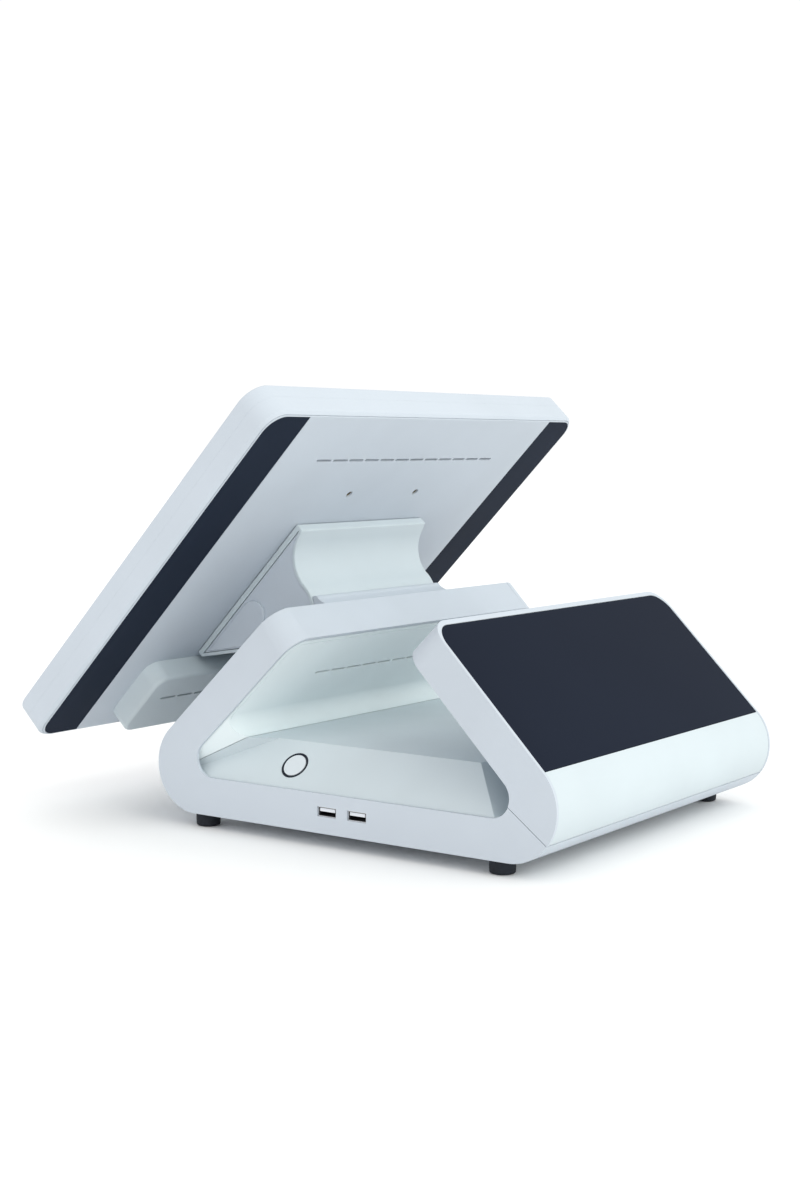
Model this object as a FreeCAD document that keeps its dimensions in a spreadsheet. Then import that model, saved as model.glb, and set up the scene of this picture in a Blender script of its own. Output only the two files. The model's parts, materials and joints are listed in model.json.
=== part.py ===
import FreeCAD, Part
import math
import os

# Dual-screen point-of-sale terminal.
# Frame: X across the width (+X is the side with the two USB sockets), +Y towards
# the customer, -Y towards the cashier, Z up, the feet stand on z = 0 and the
# origin is the middle of the footprint of the base.

V = FreeCAD.Vector
Rot = FreeCAD.Rotation
Pl = FreeCAD.Placement
doc = FreeCAD.newDocument("pos_terminal")

# ---------------------------------------------------------------- dimensions
DIMS = [
    ("ribbon_width", 281.0),        # full width of the base and both arms
    ("ribbon_thick", 24.25),        # thickness of slab and arms
    ("foot_height", 8.7),           # underside of the slab above the table
    ("corner_reach", 192.5),        # y of the virtual corners slab / arms
    ("arm_angle", 43.27),           # support arm from the horizontal
    ("cust_angle", 45.62),          # customer arm from the horizontal
    ("arm_length", 194.6),          # support arm along its outer face
    ("cust_length", 184.8),         # customer arm along its outer face
    ("bend_arm_out", 30.1),
    ("bend_arm_in", 11.65),
    ("bend_cust_out", 31.6),
    ("bend_cust_in", 12.1),
    ("side_wall", 2.2),
    ("skin", 2.5),
    ("arm_corner", 16.0),
    ("hump_top", 58.0),             # top of the electronics hump
    ("hump_run", 24.3),             # horizontal run of its side bevels
    ("seam_gap", 0.3),
    ("foot_radius", 7.75),
    ("slot_long", 15.0),
    ("slot_high", 2.0),
    ("slot_pitch", 16.75),
    ("head_angle", 45.76),          # display head from the horizontal
    ("head_y", -123.6),
    ("head_z", 154.9),
    ("head_width", 349.6),
    ("head_height", 292.8),
    ("head_thick", 24.0),
    ("head_corner", 15.0),
    ("cover_depth", 14.0),          # rear cover's wall, front to back
    ("strip_width", 34.2),
    ("strip_outer", 343.6),
    ("strip_height", 286.8),
    ("glass_thick", 3.0),
    ("vesa_pitch", 75.0),
    ("vesa_high", 75.5),            # upper row of the mounting holes above centre
    ("box_width", 228.6),
    ("box_depth", 15.5),
    ("box_top", -79.7),
    ("box_bottom", -133.9),
    ("pivot_up", 2.5),              # tilt axis, above the head's centre
    ("pivot_back", 33.5),           # tilt axis, behind the head's back face
    ("barrel_radius", 23.0),
    ("cradle_radius", 23.4),
    ("shaft_radius", 5.0),
    ("cover_half", 70.0),
    ("button_y", -45.9),
    ("button_up", 16.6),            # up the bevel from its lower edge
    ("button_radius", 7.6),
    ("ring_inner", 7.9),
    ("ring_outer", 9.2),
    ("usb_first", -10.3),
    ("usb_second", 12.1),
    ("usb_mid", 22.15),
]
sheet = doc.addObject("Spreadsheet::Sheet", "dims")
val = {}
for row, (alias, number) in enumerate(DIMS, start=1):
    sheet.set("A%d" % row, alias)
    sheet.set("B%d" % row, "%g" % number)
    sheet.setAlias("B%d" % row, alias)
    val[alias] = number
doc.recompute()

W = val["ribbon_width"] / 2.0
T = val["ribbon_thick"]
ZB = val["foot_height"]
YC = val["corner_reach"]
AL = math.radians(val["arm_angle"])
AR = math.radians(val["cust_angle"])
AD = math.radians(val["head_angle"])
SL = val["arm_length"]
SR = val["cust_length"]
tw = val["side_wall"]
ts = val["skin"]
ZT = ZB + T
ZH = val["hump_top"]
GAP = val["seam_gap"]

# local frames: x across, y up the sloping piece, z out of its outer face
PL_ARM = Pl(V(0, -YC, ZB), Rot(V(1, 0, 0), val["arm_angle"]))
PL_CUST = Pl(V(0, YC, ZB), Rot(V(0, 0, 1), 180).multiply(Rot(V(1, 0, 0), val["cust_angle"])))
PL_HEAD = Pl(V(0, val["head_y"], val["head_z"]), Rot(V(1, 0, 0), val["head_angle"]))


def arm(up, out):
    """Point of the support arm's side view, as (y, z)."""
    return (-YC + up * math.cos(AL) - out * math.sin(AL), ZB + up * math.sin(AL) + out * math.cos(AL))


def cust(up, out):
    """Point of the customer arm's side view, as (y, z)."""
    return (YC - up * math.cos(AR) + out * math.sin(AR), ZB + up * math.sin(AR) + out * math.cos(AR))


def meet(p1, p2, p3, p4):
    """Intersection of line p1-p2 with line p3-p4."""
    x1, y1 = p1; x2, y2 = p2; x3, y3 = p3; x4, y4 = p4
    den = (x1 - x2) * (y3 - y4) - (y1 - y2) * (x3 - x4)
    a = x1 * y2 - y1 * x2
    b = x3 * y4 - y3 * x4
    return ((a * (x3 - x4) - (x1 - x2) * b) / den, (a * (y3 - y4) - (y1 - y2) * b) / den)


# ------------------------------------------------------------------- helpers
PARTS = []


def keep(obj, label):
    obj.Label = label
    PARTS.append((label, obj))
    return obj


def new_body(label, placement=None, kept=True):
    b = doc.addObject("PartDesign::Body", "Body_" + label)
    b.Label = label
    if placement is not None:
        b.Placement = placement
    if kept:
        PARTS.append((label, b))
    return b


def plane_of(body, role):
    return [o for o in body.Origin.OriginFeatures if o.Role == role][0]


def new_sketch(body, role, shift=0.0):
    s = body.newObject("Sketcher::SketchObject", "Sketch")
    s.AttachmentSupport = [(plane_of(body, role), "")]
    s.MapMode = "FlatFace"
    s.AttachmentOffset = Pl(V(0, 0, shift), Rot())
    return s


def add_loop(s, pts):
    """Closed polygon; each point is (x, y) or (x, y, radius) for a rounded corner."""
    n = len(pts)
    P = [(p[0], p[1]) for p in pts]
    R = [p[2] if len(p) > 2 else 0.0 for p in pts]
    ent = []
    for i in range(n):
        a, b, c = P[i - 1], P[i], P[(i + 1) % n]
        if R[i] <= 0:
            ent.append((b, None, b))
            continue
        ux, uy = a[0] - b[0], a[1] - b[1]
        vx, vy = c[0] - b[0], c[1] - b[1]
        lu, lv = math.hypot(ux, uy), math.hypot(vx, vy)
        ux, uy, vx, vy = ux / lu, uy / lu, vx / lv, vy / lv
        half = math.acos(max(-1, min(1, ux * vx + uy * vy))) / 2
        tl = R[i] / math.tan(half)
        if tl > min(lu, lv) + 1e-6:
            raise ValueError("corner radius too large at %r (%.2f > %.2f)" % (b, tl, min(lu, lv)))
        p1 = (b[0] + ux * tl, b[1] + uy * tl)
        p2 = (b[0] + vx * tl, b[1] + vy * tl)
        bx, by = ux + vx, uy + vy
        lb = math.hypot(bx, by)
        hyp = R[i] / math.sin(half)
        cx, cy = b[0] + bx / lb * hyp, b[1] + by / lb * hyp
        m = (cx - bx / lb * R[i], cy - by / lb * R[i])
        ent.append((p1, m, p2))
    ids = []
    for i in range(n):
        p1, m, p2 = ent[i]
        if m is not None:
            ids.append(s.addGeometry(Part.ArcOfCircle(V(p1[0], p1[1], 0), V(m[0], m[1], 0), V(p2[0], p2[1], 0)), False))
        q = ent[(i + 1) % n][0]
        if math.hypot(q[0] - p2[0], q[1] - p2[1]) > 1e-4:
            ids.append(s.addGeometry(Part.LineSegment(V(p2[0], p2[1], 0), V(q[0], q[1], 0)), False))
    return ids


def add_path(s, segs):
    """Closed outline from ('L', p, q) and ('A', p, through, q) pieces."""
    for g in segs:
        if g[0] == "L":
            s.addGeometry(Part.LineSegment(V(g[1][0], g[1][1], 0), V(g[2][0], g[2][1], 0)), False)
        else:
            s.addGeometry(Part.ArcOfCircle(V(g[1][0], g[1][1], 0), V(g[2][0], g[2][1], 0), V(g[3][0], g[3][1], 0)), False)


def add_rect(s, x0, y0, x1, y1, r=0.0):
    return add_loop(s, [(x0, y0, r), (x1, y0, r), (x1, y1, r), (x0, y1, r)])


def add_circle(s, x, y, r):
    s.addGeometry(Part.Circle(V(x, y, 0), V(0, 0, 1), r), False)


def set_len(f, length):
    if isinstance(length, str):
        f.setExpression("Length", length)
    else:
        f.Length = length


def pad(body, s, length, sym=False, rev=False):
    f = body.newObject("PartDesign::Pad", "Pad")
    f.Profile = s
    set_len(f, length)
    f.SideType = "Symmetric" if sym else "One side"
    f.Reversed = rev
    s.Visibility = False
    doc.recompute()
    return f


def pocket(body, s, length, sym=False, rev=False):
    before = body.Shape.Volume
    f = body.newObject("PartDesign::Pocket", "Pocket")
    f.Profile = s
    set_len(f, length)
    f.SideType = "Symmetric" if sym else "One side"
    f.Reversed = rev
    doc.recompute()
    if not body.Shape.Volume < before - 1e-3:
        raise RuntimeError("pocket cut nothing in %s" % body.Label)
    return f


def fillet(body, test, radius, name="Fillet", what="PartDesign::Fillet"):
    tip = body.Tip
    names = []
    for i, e in enumerate(tip.Shape.Edges):
        if test(e):
            names.append("Edge%d" % (i + 1))
    if not names:
        raise RuntimeError("no edges for fillet in %s" % body.Label)
    f = body.newObject(what, name)
    f.Base = (tip, names)
    prop = "Radius" if what.endswith("Fillet") else "Size"
    if isinstance(radius, str):
        f.setExpression(prop, radius)
    else:
        setattr(f, prop, radius)
    doc.recompute()
    if "Invalid" in f.State or "Error" in f.State or f.Shape.isNull() or not f.Shape.isValid():
        raise RuntimeError("fillet failed in %s (%d edges)" % (body.Label, len(names)))
    return f


def edge_dir(e):
    if len(e.Vertexes) < 2:
        return None
    d = e.Vertexes[-1].Point - e.Vertexes[0].Point
    if d.Length < 1e-6 or abs(e.Length - d.Length) > 1e-4:
        return None
    return d.normalize()


def along(e, axis, tol=1e-3):
    d = edge_dir(e)
    return d is not None and abs(abs(d.dot(axis)) - 1) < tol


def mid(e):
    return e.valueAt((e.FirstParameter + e.LastParameter) / 2)


def cut(label, a, tools, kept=True):
    cur = a
    for i, t in enumerate(tools):
        c = doc.addObject("Part::Cut", "Cut_%s_%d" % (label, i))
        c.Base, c.Tool = cur, t
        c.Refine = False
        cur = c
    cur.Label = label
    if kept:
        PARTS.append((label, cur))
    return cur


def slot_row(s, count, up):
    pitch, ln, h = val["slot_pitch"], val["slot_long"], val["slot_high"]
    for i in range(count):
        cx = (i - (count - 1) / 2.0) * pitch
        add_rect(s, cx - ln / 2, up - h / 2, cx + ln / 2, up + h / 2, h / 2 - 0.05)


LN = V(0, -math.sin(AL), math.cos(AL))
LU = V(0, math.cos(AL), math.sin(AL))
RN = V(0, math.sin(AR), math.cos(AR))
RU = V(0, -math.cos(AR), math.sin(AR))

# ------------------------------------------------- the ribbon's side profile
top_l_out, top_l_in = arm(SL, 0), arm(SL, -T)
top_r_out, top_r_in = cust(SR, 0), cust(SR, -T)
in_l = meet(arm(0, -T), arm(100, -T), (0, ZT), (1, ZT))
in_r = meet(cust(0, -T), cust(100, -T), (0, ZT), (1, ZT))
ribbon = [
    top_l_out,
    (-YC, ZB, val["bend_arm_out"]),
    (YC, ZB, val["bend_cust_out"]),
    top_r_out,
    top_r_in,
    (in_r[0], in_r[1], val["bend_cust_in"]),
    (in_l[0], in_l[1], val["bend_arm_in"]),
    top_l_in,
]
# seam between the base and the customer arm, radial to the outer bend
bend_c = (YC - val["bend_cust_out"] / math.tan(AR / 2), ZB + val["bend_cust_out"])
seam_dir = (math.cos(math.radians(-36.9)), math.sin(math.radians(-36.9)))


def seam_pt(r, off=0.0):
    return (bend_c[0] + seam_dir[0] * r - seam_dir[1] * off, bend_c[1] + seam_dir[1] * r + seam_dir[0] * off)


# --------------------------------------------------------------- base housing
b = new_body("base_housing")
s = new_sketch(b, "YZ_Plane")
add_loop(s, ribbon)
pad(b, s, "dims.ribbon_width", sym=True)
# the customer arm's side of the seam is a separate moulding
s = new_sketch(b, "YZ_Plane")
add_loop(s, [seam_pt(-20), seam_pt(60), (260, seam_pt(60)[1]), (260, 200), (40, 200), (40, 100), (60, seam_pt(-20)[1] + 10)])
pocket(b, s, 400, sym=True)
# hollow, open towards the inside of the triangle
a_out, a_low = arm(SL - 2.8, -ts), arm(0, -ts)
c_l = meet(a_low, a_out, (0, ZB + ts), (1, ZB + ts))
c_r = meet(cust(0, -ts), cust(100, -ts), (0, ZB + ts), (1, ZB + ts))
s = new_sketch(b, "YZ_Plane")
add_loop(s, [a_out, (c_l[0], c_l[1], val["bend_arm_out"] - ts), (c_r[0], c_r[1], val["bend_cust_out"] - ts), cust(110, -ts), arm(SL - 2.8, -T - 5)])
f = pocket(b, s, 100, sym=True)
f.setExpression("Length", "dims.ribbon_width - 2 * dims.side_wall")
doc.recompute()
fillet(b, lambda e: along(e, LN) and abs(abs(mid(e).x) - (W - tw)) < 0.01 and abs((mid(e) - V(0, -YC, ZB)).dot(LU) - (SL - 2.8)) < 0.05, val["arm_corner"] - 2.4)
fillet(b, lambda e: along(e, LN) and abs(mid(e).x) > W - 0.1 and (mid(e) - V(0, -YC, ZB)).dot(LU) > SL - 1, "dims.arm_corner")
# two USB windows in the +X side wall
s = new_sketch(b, "YZ_Plane", W + 1)
for yy in (val["usb_first"], val["usb_second"]):
    add_rect(s, yy - 7.1, val["usb_mid"] - 3.05, yy + 7.1, val["usb_mid"] + 3.05, 0.4)
pocket(b, s, 5.0)
# screw holes of the underside, with counterbores
SCREWS = [(x, y) for x in (-100.0, 0.0, 100.0) for y in (-96.0, 84.0)]
s = new_sketch(b, "XY_Plane", ZB - 1)
for x, y in SCREWS:
    add_circle(s, x, y, 1.7)
pocket(b, s, 5.0, rev=True)
# holes of the hinge bracket through the arm's outer skin
HB = [(x, y) for x in (-32.0, 32.0) for y in (148.3, 160.3)]
s = new_sketch(b, "XY_Plane", 1.0)
s.AttachmentOffset = PL_ARM.multiply(Pl(V(0, 0, 1.0), Rot()))
for x, y in HB:
    add_circle(s, x, y, 2.2)
pocket(b, s, 5.0)

# ------------------------------------------------------------- base top cover
run = val["hump_run"]
slope = (ZH - ZT) / run
edge_x = W - tw - 0.5
YE = 82.0                                   # where the hump starts to fall towards the customer arm
ye2 = YE + (ZH - ZT)
SEAM_A, SEAM_B = (-113.6, 43.9), (-82.2, 59.9)     # seam plane cover / arm panel
sdx, sdz = SEAM_B[0] - SEAM_A[0], SEAM_B[1] - SEAM_A[1]
sl = math.hypot(sdx, sdz)
sdx, sdz = sdx / sl, sdz / sl


def in_seam(a, off):
    return (SEAM_A[0] + sdx * a - sdz * off, SEAM_A[1] + sdz * a + sdx * off)


rib = ZT - 2.3
# centre of the inner bend under the customer arm
br_c = (in_r[0] - val["bend_cust_in"] / math.tan(AR / 2), ZT + val["bend_cust_in"])


# outer body of the cover
cov = new_body("cover_outer", kept=False)
s = new_sketch(cov, "XZ_Plane", -ye2 - 12.0)
add_loop(s, [(-edge_x, rib), (edge_x, rib), (edge_x, ZT), (edge_x - run, ZH), (-edge_x + run, ZH), (-edge_x, ZT)])
pad(cov, s, ye2 + 12.0 + 125.0)
# customer end: 45 degree fall, then the concave bend up to the seam
s = new_sketch(cov, "YZ_Plane")
add_loop(s, [(YE, ZH), (ye2, ZT), (ye2 + 60, ZT), (ye2 + 60, 120), (YE, 120)])
pocket(cov, s, 400, sym=True)
# hollow underside
s = new_sketch(cov, "XZ_Plane", -(YE - 1.0))
k = 2.5
add_loop(s, [(-edge_x + 3.2, rib - 1), (edge_x - 3.2, rib - 1), (edge_x - 3.4, ZT - 0.6), (edge_x - run - 1.1, ZH - k), (-edge_x + run + 1.1, ZH - k), (-edge_x + 3.4, ZT - 0.6)])
pocket(cov, s, YE - 1.0 + 76.0, rev=True)
s = new_sketch(cov, "YZ_Plane")
add_loop(s, [(YE - 2.0, ZH - k), (YE - 1.0, ZH - k), (ye2 - 5.0, rib - 1), (YE - 2.0, rib - 1)])
pocket(cov, s, 2 * (edge_x - run - 1.1), sym=True)

# bevelled wedge that carries the hump up into the support arm
d_top = 30.0
wedge = new_body("cover_wedge", PL_ARM, kept=False)
s = new_sketch(wedge, "XZ_Plane", -124.0)
add_loop(s, [(-edge_x, -T), (edge_x, -T), (edge_x - d_top / slope, -T - d_top), (-edge_x + d_top / slope, -T - d_top)])
pad(wedge, s, 124.0 - 60.0)
# trimmed to the fillet between hump top and arm, and to the slab
rf = 9.2
t_f = rf / math.tan(AL / 2)
corner_y = meet(arm(0, -T), arm(100, -T), (0, ZH), (1, ZH))[0]
f_c = (corner_y + t_f, ZH + rf)
f_up = (f_c[0] - rf * math.sin(AL), f_c[1] + rf * math.cos(AL))
f_lo = (f_c[0], ZH)


def arc_mid(c, r, a0, a1):
    a = math.radians((a0 + a1) / 2)
    return (c[0] + r * math.cos(a), c[1] + r * math.sin(a))


f_a0 = 270.0                                   # hump side of the fillet
f_a1 = 90.0 + math.degrees(AL)                 # arm side of the fillet
f_mid = arc_mid(f_c, rf, f_a0, f_a1)
prof = new_body("cover_fillet", kept=False)
s = new_sketch(prof, "YZ_Plane")
arm_low = meet(arm(0, -T), arm(100, -T), (0, 36.0), (1, 36.0))
# region under the fillet: arm face, fillet arc, hump top, down to the slab
add_path(s, [
    ("L", arm_low, f_up),
    ("A", f_up, f_mid, f_lo),
    ("L", f_lo, (-60.0, ZH)),
    ("L", (-60.0, ZH), (-60.0, 36.0)),
    ("L", (-60.0, 36.0), arm_low),
])
pad(prof, s, 2 * edge_x, sym=True)
wedge_trim = doc.addObject("Part::Common", "wedge_trim")
wedge_trim.Base, wedge_trim.Tool = wedge, prof
doc.recompute()
# concave lip that carries the cover round the bend to the customer arm's seam
lipb = new_body("cover_bend", kept=False)
s = new_sketch(lipb, "YZ_Plane")
li, lo = val["bend_cust_in"], val["bend_cust_in"] + 2.3
la1 = math.degrees(math.atan2(40.5 - br_c[1], 117.1 - br_c[0])) - 1.2


def on_r(r, a):
    return (br_c[0] + r * math.cos(math.radians(a)), br_c[1] + r * math.sin(math.radians(a)))


add_path(s, [
    ("A", on_r(li, -90), on_r(li, (la1 - 90) / 2), on_r(li, la1)),
    ("L", on_r(li, la1), on_r(lo, la1 - 5.5)),
    ("A", on_r(lo, la1 - 5.5), on_r(lo, (la1 - 90) / 2), on_r(lo, -90)),
    ("L", on_r(lo, -90), on_r(li, -90)),
])
pad(lipb, s, 2 * edge_x, sym=True)
ends = doc.addObject("Part::Fuse", "cover_ends")
ends.Base, ends.Tool = cov, lipb
whole = doc.addObject("Part::Fuse", "cover_whole")
whole.Base, whole.Tool = ends, wedge_trim
doc.recompute()

# tools either side of the seam plane
seam_low = new_body("seam_low", kept=False)
s = new_sketch(seam_low, "YZ_Plane")
add_loop(s, [in_seam(-40, -GAP / 2), in_seam(38, -GAP / 2), (in_seam(38, -GAP / 2)[0], 90), (160, 90), (160, 0), (in_seam(-40, 0)[0], 0)])
pad(seam_low, s, 400, sym=True)
seam_high = new_body("seam_high", kept=False)
s = new_sketch(seam_high, "YZ_Plane")
add_loop(s, [in_seam(-40, GAP / 2), in_seam(38, GAP / 2), (0, in_seam(38, GAP / 2)[1] + 1), (0, 160), (in_seam(-40, 0)[0], 160)])
pad(seam_high, s, 400, sym=True)
# the inner bends of slab and arms, and the arm's inner face, bound the cover
limit = new_body("cover_limit", kept=False)
s = new_sketch(limit, "YZ_Plane")
add_loop(s, [(-118.0, rib - 0.5), (-129.0, rib - 0.5), arm(64.0, -T + 2.0), arm(140.0, -T + 2.0), (0, 130), (ye2 + 20, 130), (ye2 + 20, 36.0), (ye2 + 3, rib - 0.5)])
pad(limit, s, 400, sym=True)

top_cover = doc.addObject("Part::Common", "top_cover_a")
top_cover.Base, top_cover.Tool = whole, seam_low
doc.recompute()
top_cover2 = doc.addObject("Part::Common", "top_cover_b")
top_cover2.Base, top_cover2.Tool = top_cover, limit
doc.recompute()
# the button's round seat through the near bevel
bev = math.atan2(ZH - ZT, run)
ub = val["button_up"]
bx, bz = edge_x - ub * math.cos(bev), ZT + ub * math.sin(bev)
nb = V(math.sin(bev), 0, math.cos(bev))
PL_BTN = Pl(V(bx, val["button_y"], bz), Rot(V(0, 1, 0), 90 - math.degrees(math.atan2(nb.z, nb.x))))
seat = doc.addObject("Part::Cylinder", "button_seat")
seat.setExpression("Radius", "dims.ring_outer + 0.05")
seat.Height = 14
seat.Placement = PL_BTN.multiply(Pl(V(0, 0, -10), Rot()))
doc.recompute()
cut("base_top_cover", top_cover2, [seat])
doc.recompute()

# ------------------------------------------------------------ arm inner panel
pan = new_body("panel_plate", PL_ARM, kept=False)
s = new_sketch(pan, "XY_Plane", -T)
px = edge_x
add_loop(s, [(-px, 66.0), (px, 66.0), (px, SL - 3.1, 13.0), (-px, SL - 3.1, 13.0)])
pad(pan, s, 2.3)
s = new_sketch(pan, "XY_Plane", -T + 4)
slot_row(s, 10, 153.7)
pocket(pan, s, 10.0)
pan_all = doc.addObject("Part::Fuse", "panel_all")
pan_all.Base, pan_all.Tool = pan, wedge_trim
doc.recompute()
pan_cut = doc.addObject("Part::Common", "arm_inner_panel_c")
pan_cut.Base, pan_cut.Tool = pan_all, seam_high
doc.recompute()
keep(pan_cut, "arm_inner_panel")

# ------------------------------------------------------ customer arm housing
b = new_body("customer_arm_housing")
s = new_sketch(b, "YZ_Plane")
add_loop(s, ribbon)
pad(b, s, "dims.ribbon_width", sym=True)
s = new_sketch(b, "YZ_Plane")
add_loop(s, [seam_pt(-30, 0.15), seam_pt(60, 0.15), (seam_pt(60)[0], -20), (-260, -20), (-260, 200), (0, 200), (0, 90), (60, seam_pt(-30)[1])])
pocket(b, s, 400, sym=True)
# hollow, open to the customer's side
e1 = cust(SR - 3.3, -T + ts)
e2 = meet(cust(0, -T + ts), cust(100, -T + ts), (0, ZT - ts), (1, ZT - ts))
s = new_sketch(b, "YZ_Plane")
add_loop(s, [e1, (e2[0], e2[1], val["bend_cust_in"] + ts), (60, ZT - ts), (60, -30), (280, -30), cust(SR - 3.3, 70)])
f = pocket(b, s, 100, sym=True)
f.setExpression("Length", "dims.ribbon_width - 2 * dims.side_wall")
doc.recompute()
fillet(b, lambda e: along(e, RN) and abs(abs(mid(e).x) - (W - tw)) < 0.01 and abs((mid(e) - V(0, YC, ZB)).dot(RU) - (SR - 3.3)) < 0.05, val["arm_corner"] - 2.2)
fillet(b, lambda e: along(e, RN) and abs(mid(e).x) > W - 0.1 and (mid(e) - V(0, YC, ZB)).dot(RU) > SR - 1, "dims.arm_corner")

# ------------------------------------------------------------ customer skirt
b = new_body("customer_arm_skirt")
s = new_sketch(b, "YZ_Plane")
ro, ri = val["bend_cust_out"] - 0.1, val["bend_cust_out"] - 2.3
aa0, aa1 = 90.0 - math.degrees(AR), -36.4


def on_c(c, r, a):
    return (c[0] + r * math.cos(math.radians(a)), c[1] + r * math.sin(math.radians(a)))


add_path(s, [
    ("A", on_c(bend_c, ro, aa0), on_c(bend_c, ro, (aa0 + aa1) / 2), on_c(bend_c, ro, aa1)),
    ("L", on_c(bend_c, ro, aa1), on_c(bend_c, ri, aa1)),
    ("A", on_c(bend_c, ri, aa1), on_c(bend_c, ri, (aa0 + aa1) / 2), on_c(bend_c, ri, aa0)),
    ("L", on_c(bend_c, ri, aa0), on_c(bend_c, ro, aa0)),
])
f = pad(b, s, 10, sym=True)
f.setExpression("Length", "dims.ribbon_width - 2 * dims.side_wall - 0.4")
doc.recompute()

# ----------------------------------------------------------- customer display
gx = W - tw - 0.2
b = new_body("customer_glass", PL_CUST)
s = new_sketch(b, "XY_Plane", -2.7)
s_bot = val["bend_cust_out"] / math.tan(AR / 2) + 0.3
add_loop(s, [(-gx, s_bot), (gx, s_bot), (gx, SR - 3.5, 13.5), (-gx, SR - 3.5, 13.5)])
pad(b, s, 2.55)
b = new_body("customer_lcd_panel", PL_CUST)
s = new_sketch(b, "XY_Plane", -9.0)
add_rect(s, -117.0, 90.0, 117.0, 168.0, 1.5)
pad(b, s, 6.1)
b = new_body("customer_display_board", PL_CUST)
s = new_sketch(b, "XY_Plane", -14.0)
add_rect(s, -48.0, 100.0, 48.0, 152.0, 2.0)
pad(b, s, 1.6)
s = new_sketch(b, "XY_Plane", -12.4)
for x0, y0, x1, y1 in ((-40, 108, -22, 126), (-12, 106, 2, 114), (8, 120, 30, 138), (-38, 136, -14, 144)):
    add_rect(s, x0, y0, x1, y1)
pad(b, s, 1.8)

# ------------------------------------------------------------- steel chassis
ct = 2.0
b = new_body("steel_chassis")
s = new_sketch(b, "YZ_Plane")
n0, n1 = -ts - 0.3, -ts - 0.3 - ct
z0, z1 = ZB + ts + 0.3, ZB + ts + 0.3 + ct
k0 = meet(arm(0, n0), arm(100, n0), (0, z0), (1, z0))
k1 = meet(arm(0, n1), arm(100, n1), (0, z1), (1, z1))
add_loop(s, [arm(186.0, n0), (k0[0], k0[1], 27.7), (98.0, z0), (98.0, z1), (k1[0], k1[1], 25.7), arm(186.0, n1)])
pad(b, s, 120.0, sym=True)
s = new_sketch(b, "XY_Plane", 1.0)
s.AttachmentOffset = PL_ARM.multiply(Pl(V(0, 0, 1.0), Rot()))
for x, y in HB:
    add_circle(s, x, y, 2.2)
pocket(b, s, 8.0)
s = new_sketch(b, "XY_Plane", ZB)
for x, y in ((0.0, -96.0), (0.0, 84.0)):
    add_circle(s, x, y, 1.7)
STAND = [(-44.0, -66.0), (-44.0, 46.0), (54.0, -66.0), (54.0, 46.0)]
for x, y in STAND:
    add_circle(s, x, y, 1.2)
pocket(b, s, 8.0, rev=True)

# ---------------------------------------------------------------- electronics
zb0 = val["usb_mid"] - 3.0 - 0.25 - 1.6       # underside of the mainboard
b = new_body("mainboard")
s = new_sketch(b, "XY_Plane", zb0)
add_loop(s, [(-52.0, -74.0, 3.0), (100.0, -74.0, 3.0), (100.0, -24.0), (135.0, -24.0), (135.0, 26.0), (100.0, 26.0), (100.0, 54.0, 3.0), (-52.0, 54.0, 3.0)])
for x, y in STAND:
    add_circle(s, x, y, 1.6)
pad(b, s, 1.6)
s = new_sketch(b, "XY_Plane", zb0 + 1.6)
for x0, y0, x1, y1 in ((62, -60, 92, -50), (62, -44, 92, -34), (-48, -20, -36, 22), (40, 20, 58, 32), (70, -20, 84, -6), (76, 10, 92, 20)):
    add_rect(s, x0, y0, x1, y1)
pad(b, s, 4.0)
# standoffs under the board
b = new_body("board_standoffs")
s = new_sketch(b, "XY_Plane", z1)
for x, y in STAND:
    add_circle(s, x, y, 2.6)
b.AllowCompound = True
s2h = zb0 - z1
f = pad(b, s, s2h)
b = new_body("board_screws")
b.AllowCompound = True
s = new_sketch(b, "XY_Plane", zb0 + 1.6)
for x, y in STAND:
    add_circle(s, x, y, 2.6)
pad(b, s, 1.4)
# finned heat sink on the processor
b = new_body("heat_sink")
s = new_sketch(b, "XZ_Plane", 40.0)
zh0 = zb0 + 1.6 + 2.0
fin = [(-24.0, zh0), (34.0, zh0)]
x = 34.0
while x > -23.5:
    fin += [(x, zh0 + 22.0), (x - 1.6, zh0 + 22.0), (x - 1.6, zh0 + 4.0), (max(x - 5.64, -24.0), zh0 + 4.0)]
    x -= 5.64
fin = fin[:-1] + [(-24.0, zh0 + 4.0)] if fin[-1][0] > -24.0 else fin
add_loop(s, fin)
pad(b, s, 58.0, rev=True)
b = new_body("processor")
s = new_sketch(b, "XY_Plane", zb0 + 1.6)
add_rect(s, -11.0, -27.0, 21.0, 5.0, 1.0)
pad(b, s, 2.0)
# solid-state drive on the far side
b = new_body("ssd_drive")
s = new_sketch(b, "XY_Plane", 20.0)
add_rect(s, -128.0, -50.0, -58.1, 50.0, 3.0)
pad(b, s, 7.0)
b = new_body("ssd_bracket")
s = new_sketch(b, "XZ_Plane", -30.0)
add_loop(s, [(-131.0, ZB + ts + 0.1), (-124.0, ZB + ts + 0.1), (-124.0, 18.8), (-62.5, 18.8), (-62.5, ZB + ts + 0.1), (-60.7, ZB + ts + 0.1), (-60.7, 19.9), (-125.8, 19.9), (-125.8, ZB + ts + 1.2), (-131.0, ZB + ts + 1.2)])
pad(b, s, 60.0)
# loudspeaker in the hump
b = new_body("speaker")
s = new_sketch(b, "XZ_Plane", 51.0)
add_loop(s, [(-112.0, 28.0), (-70.0, 28.0), (-70.0, 50.0, 2.0), (-108.0, 50.0, 2.0)])
pad(b, s, 8.0, rev=False)
s = new_sketch(b, "XZ_Plane", 59.0)
add_circle(s, -89.0, 39.0, 9.0)
pocket(b, s, 1.5, rev=False)

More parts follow.
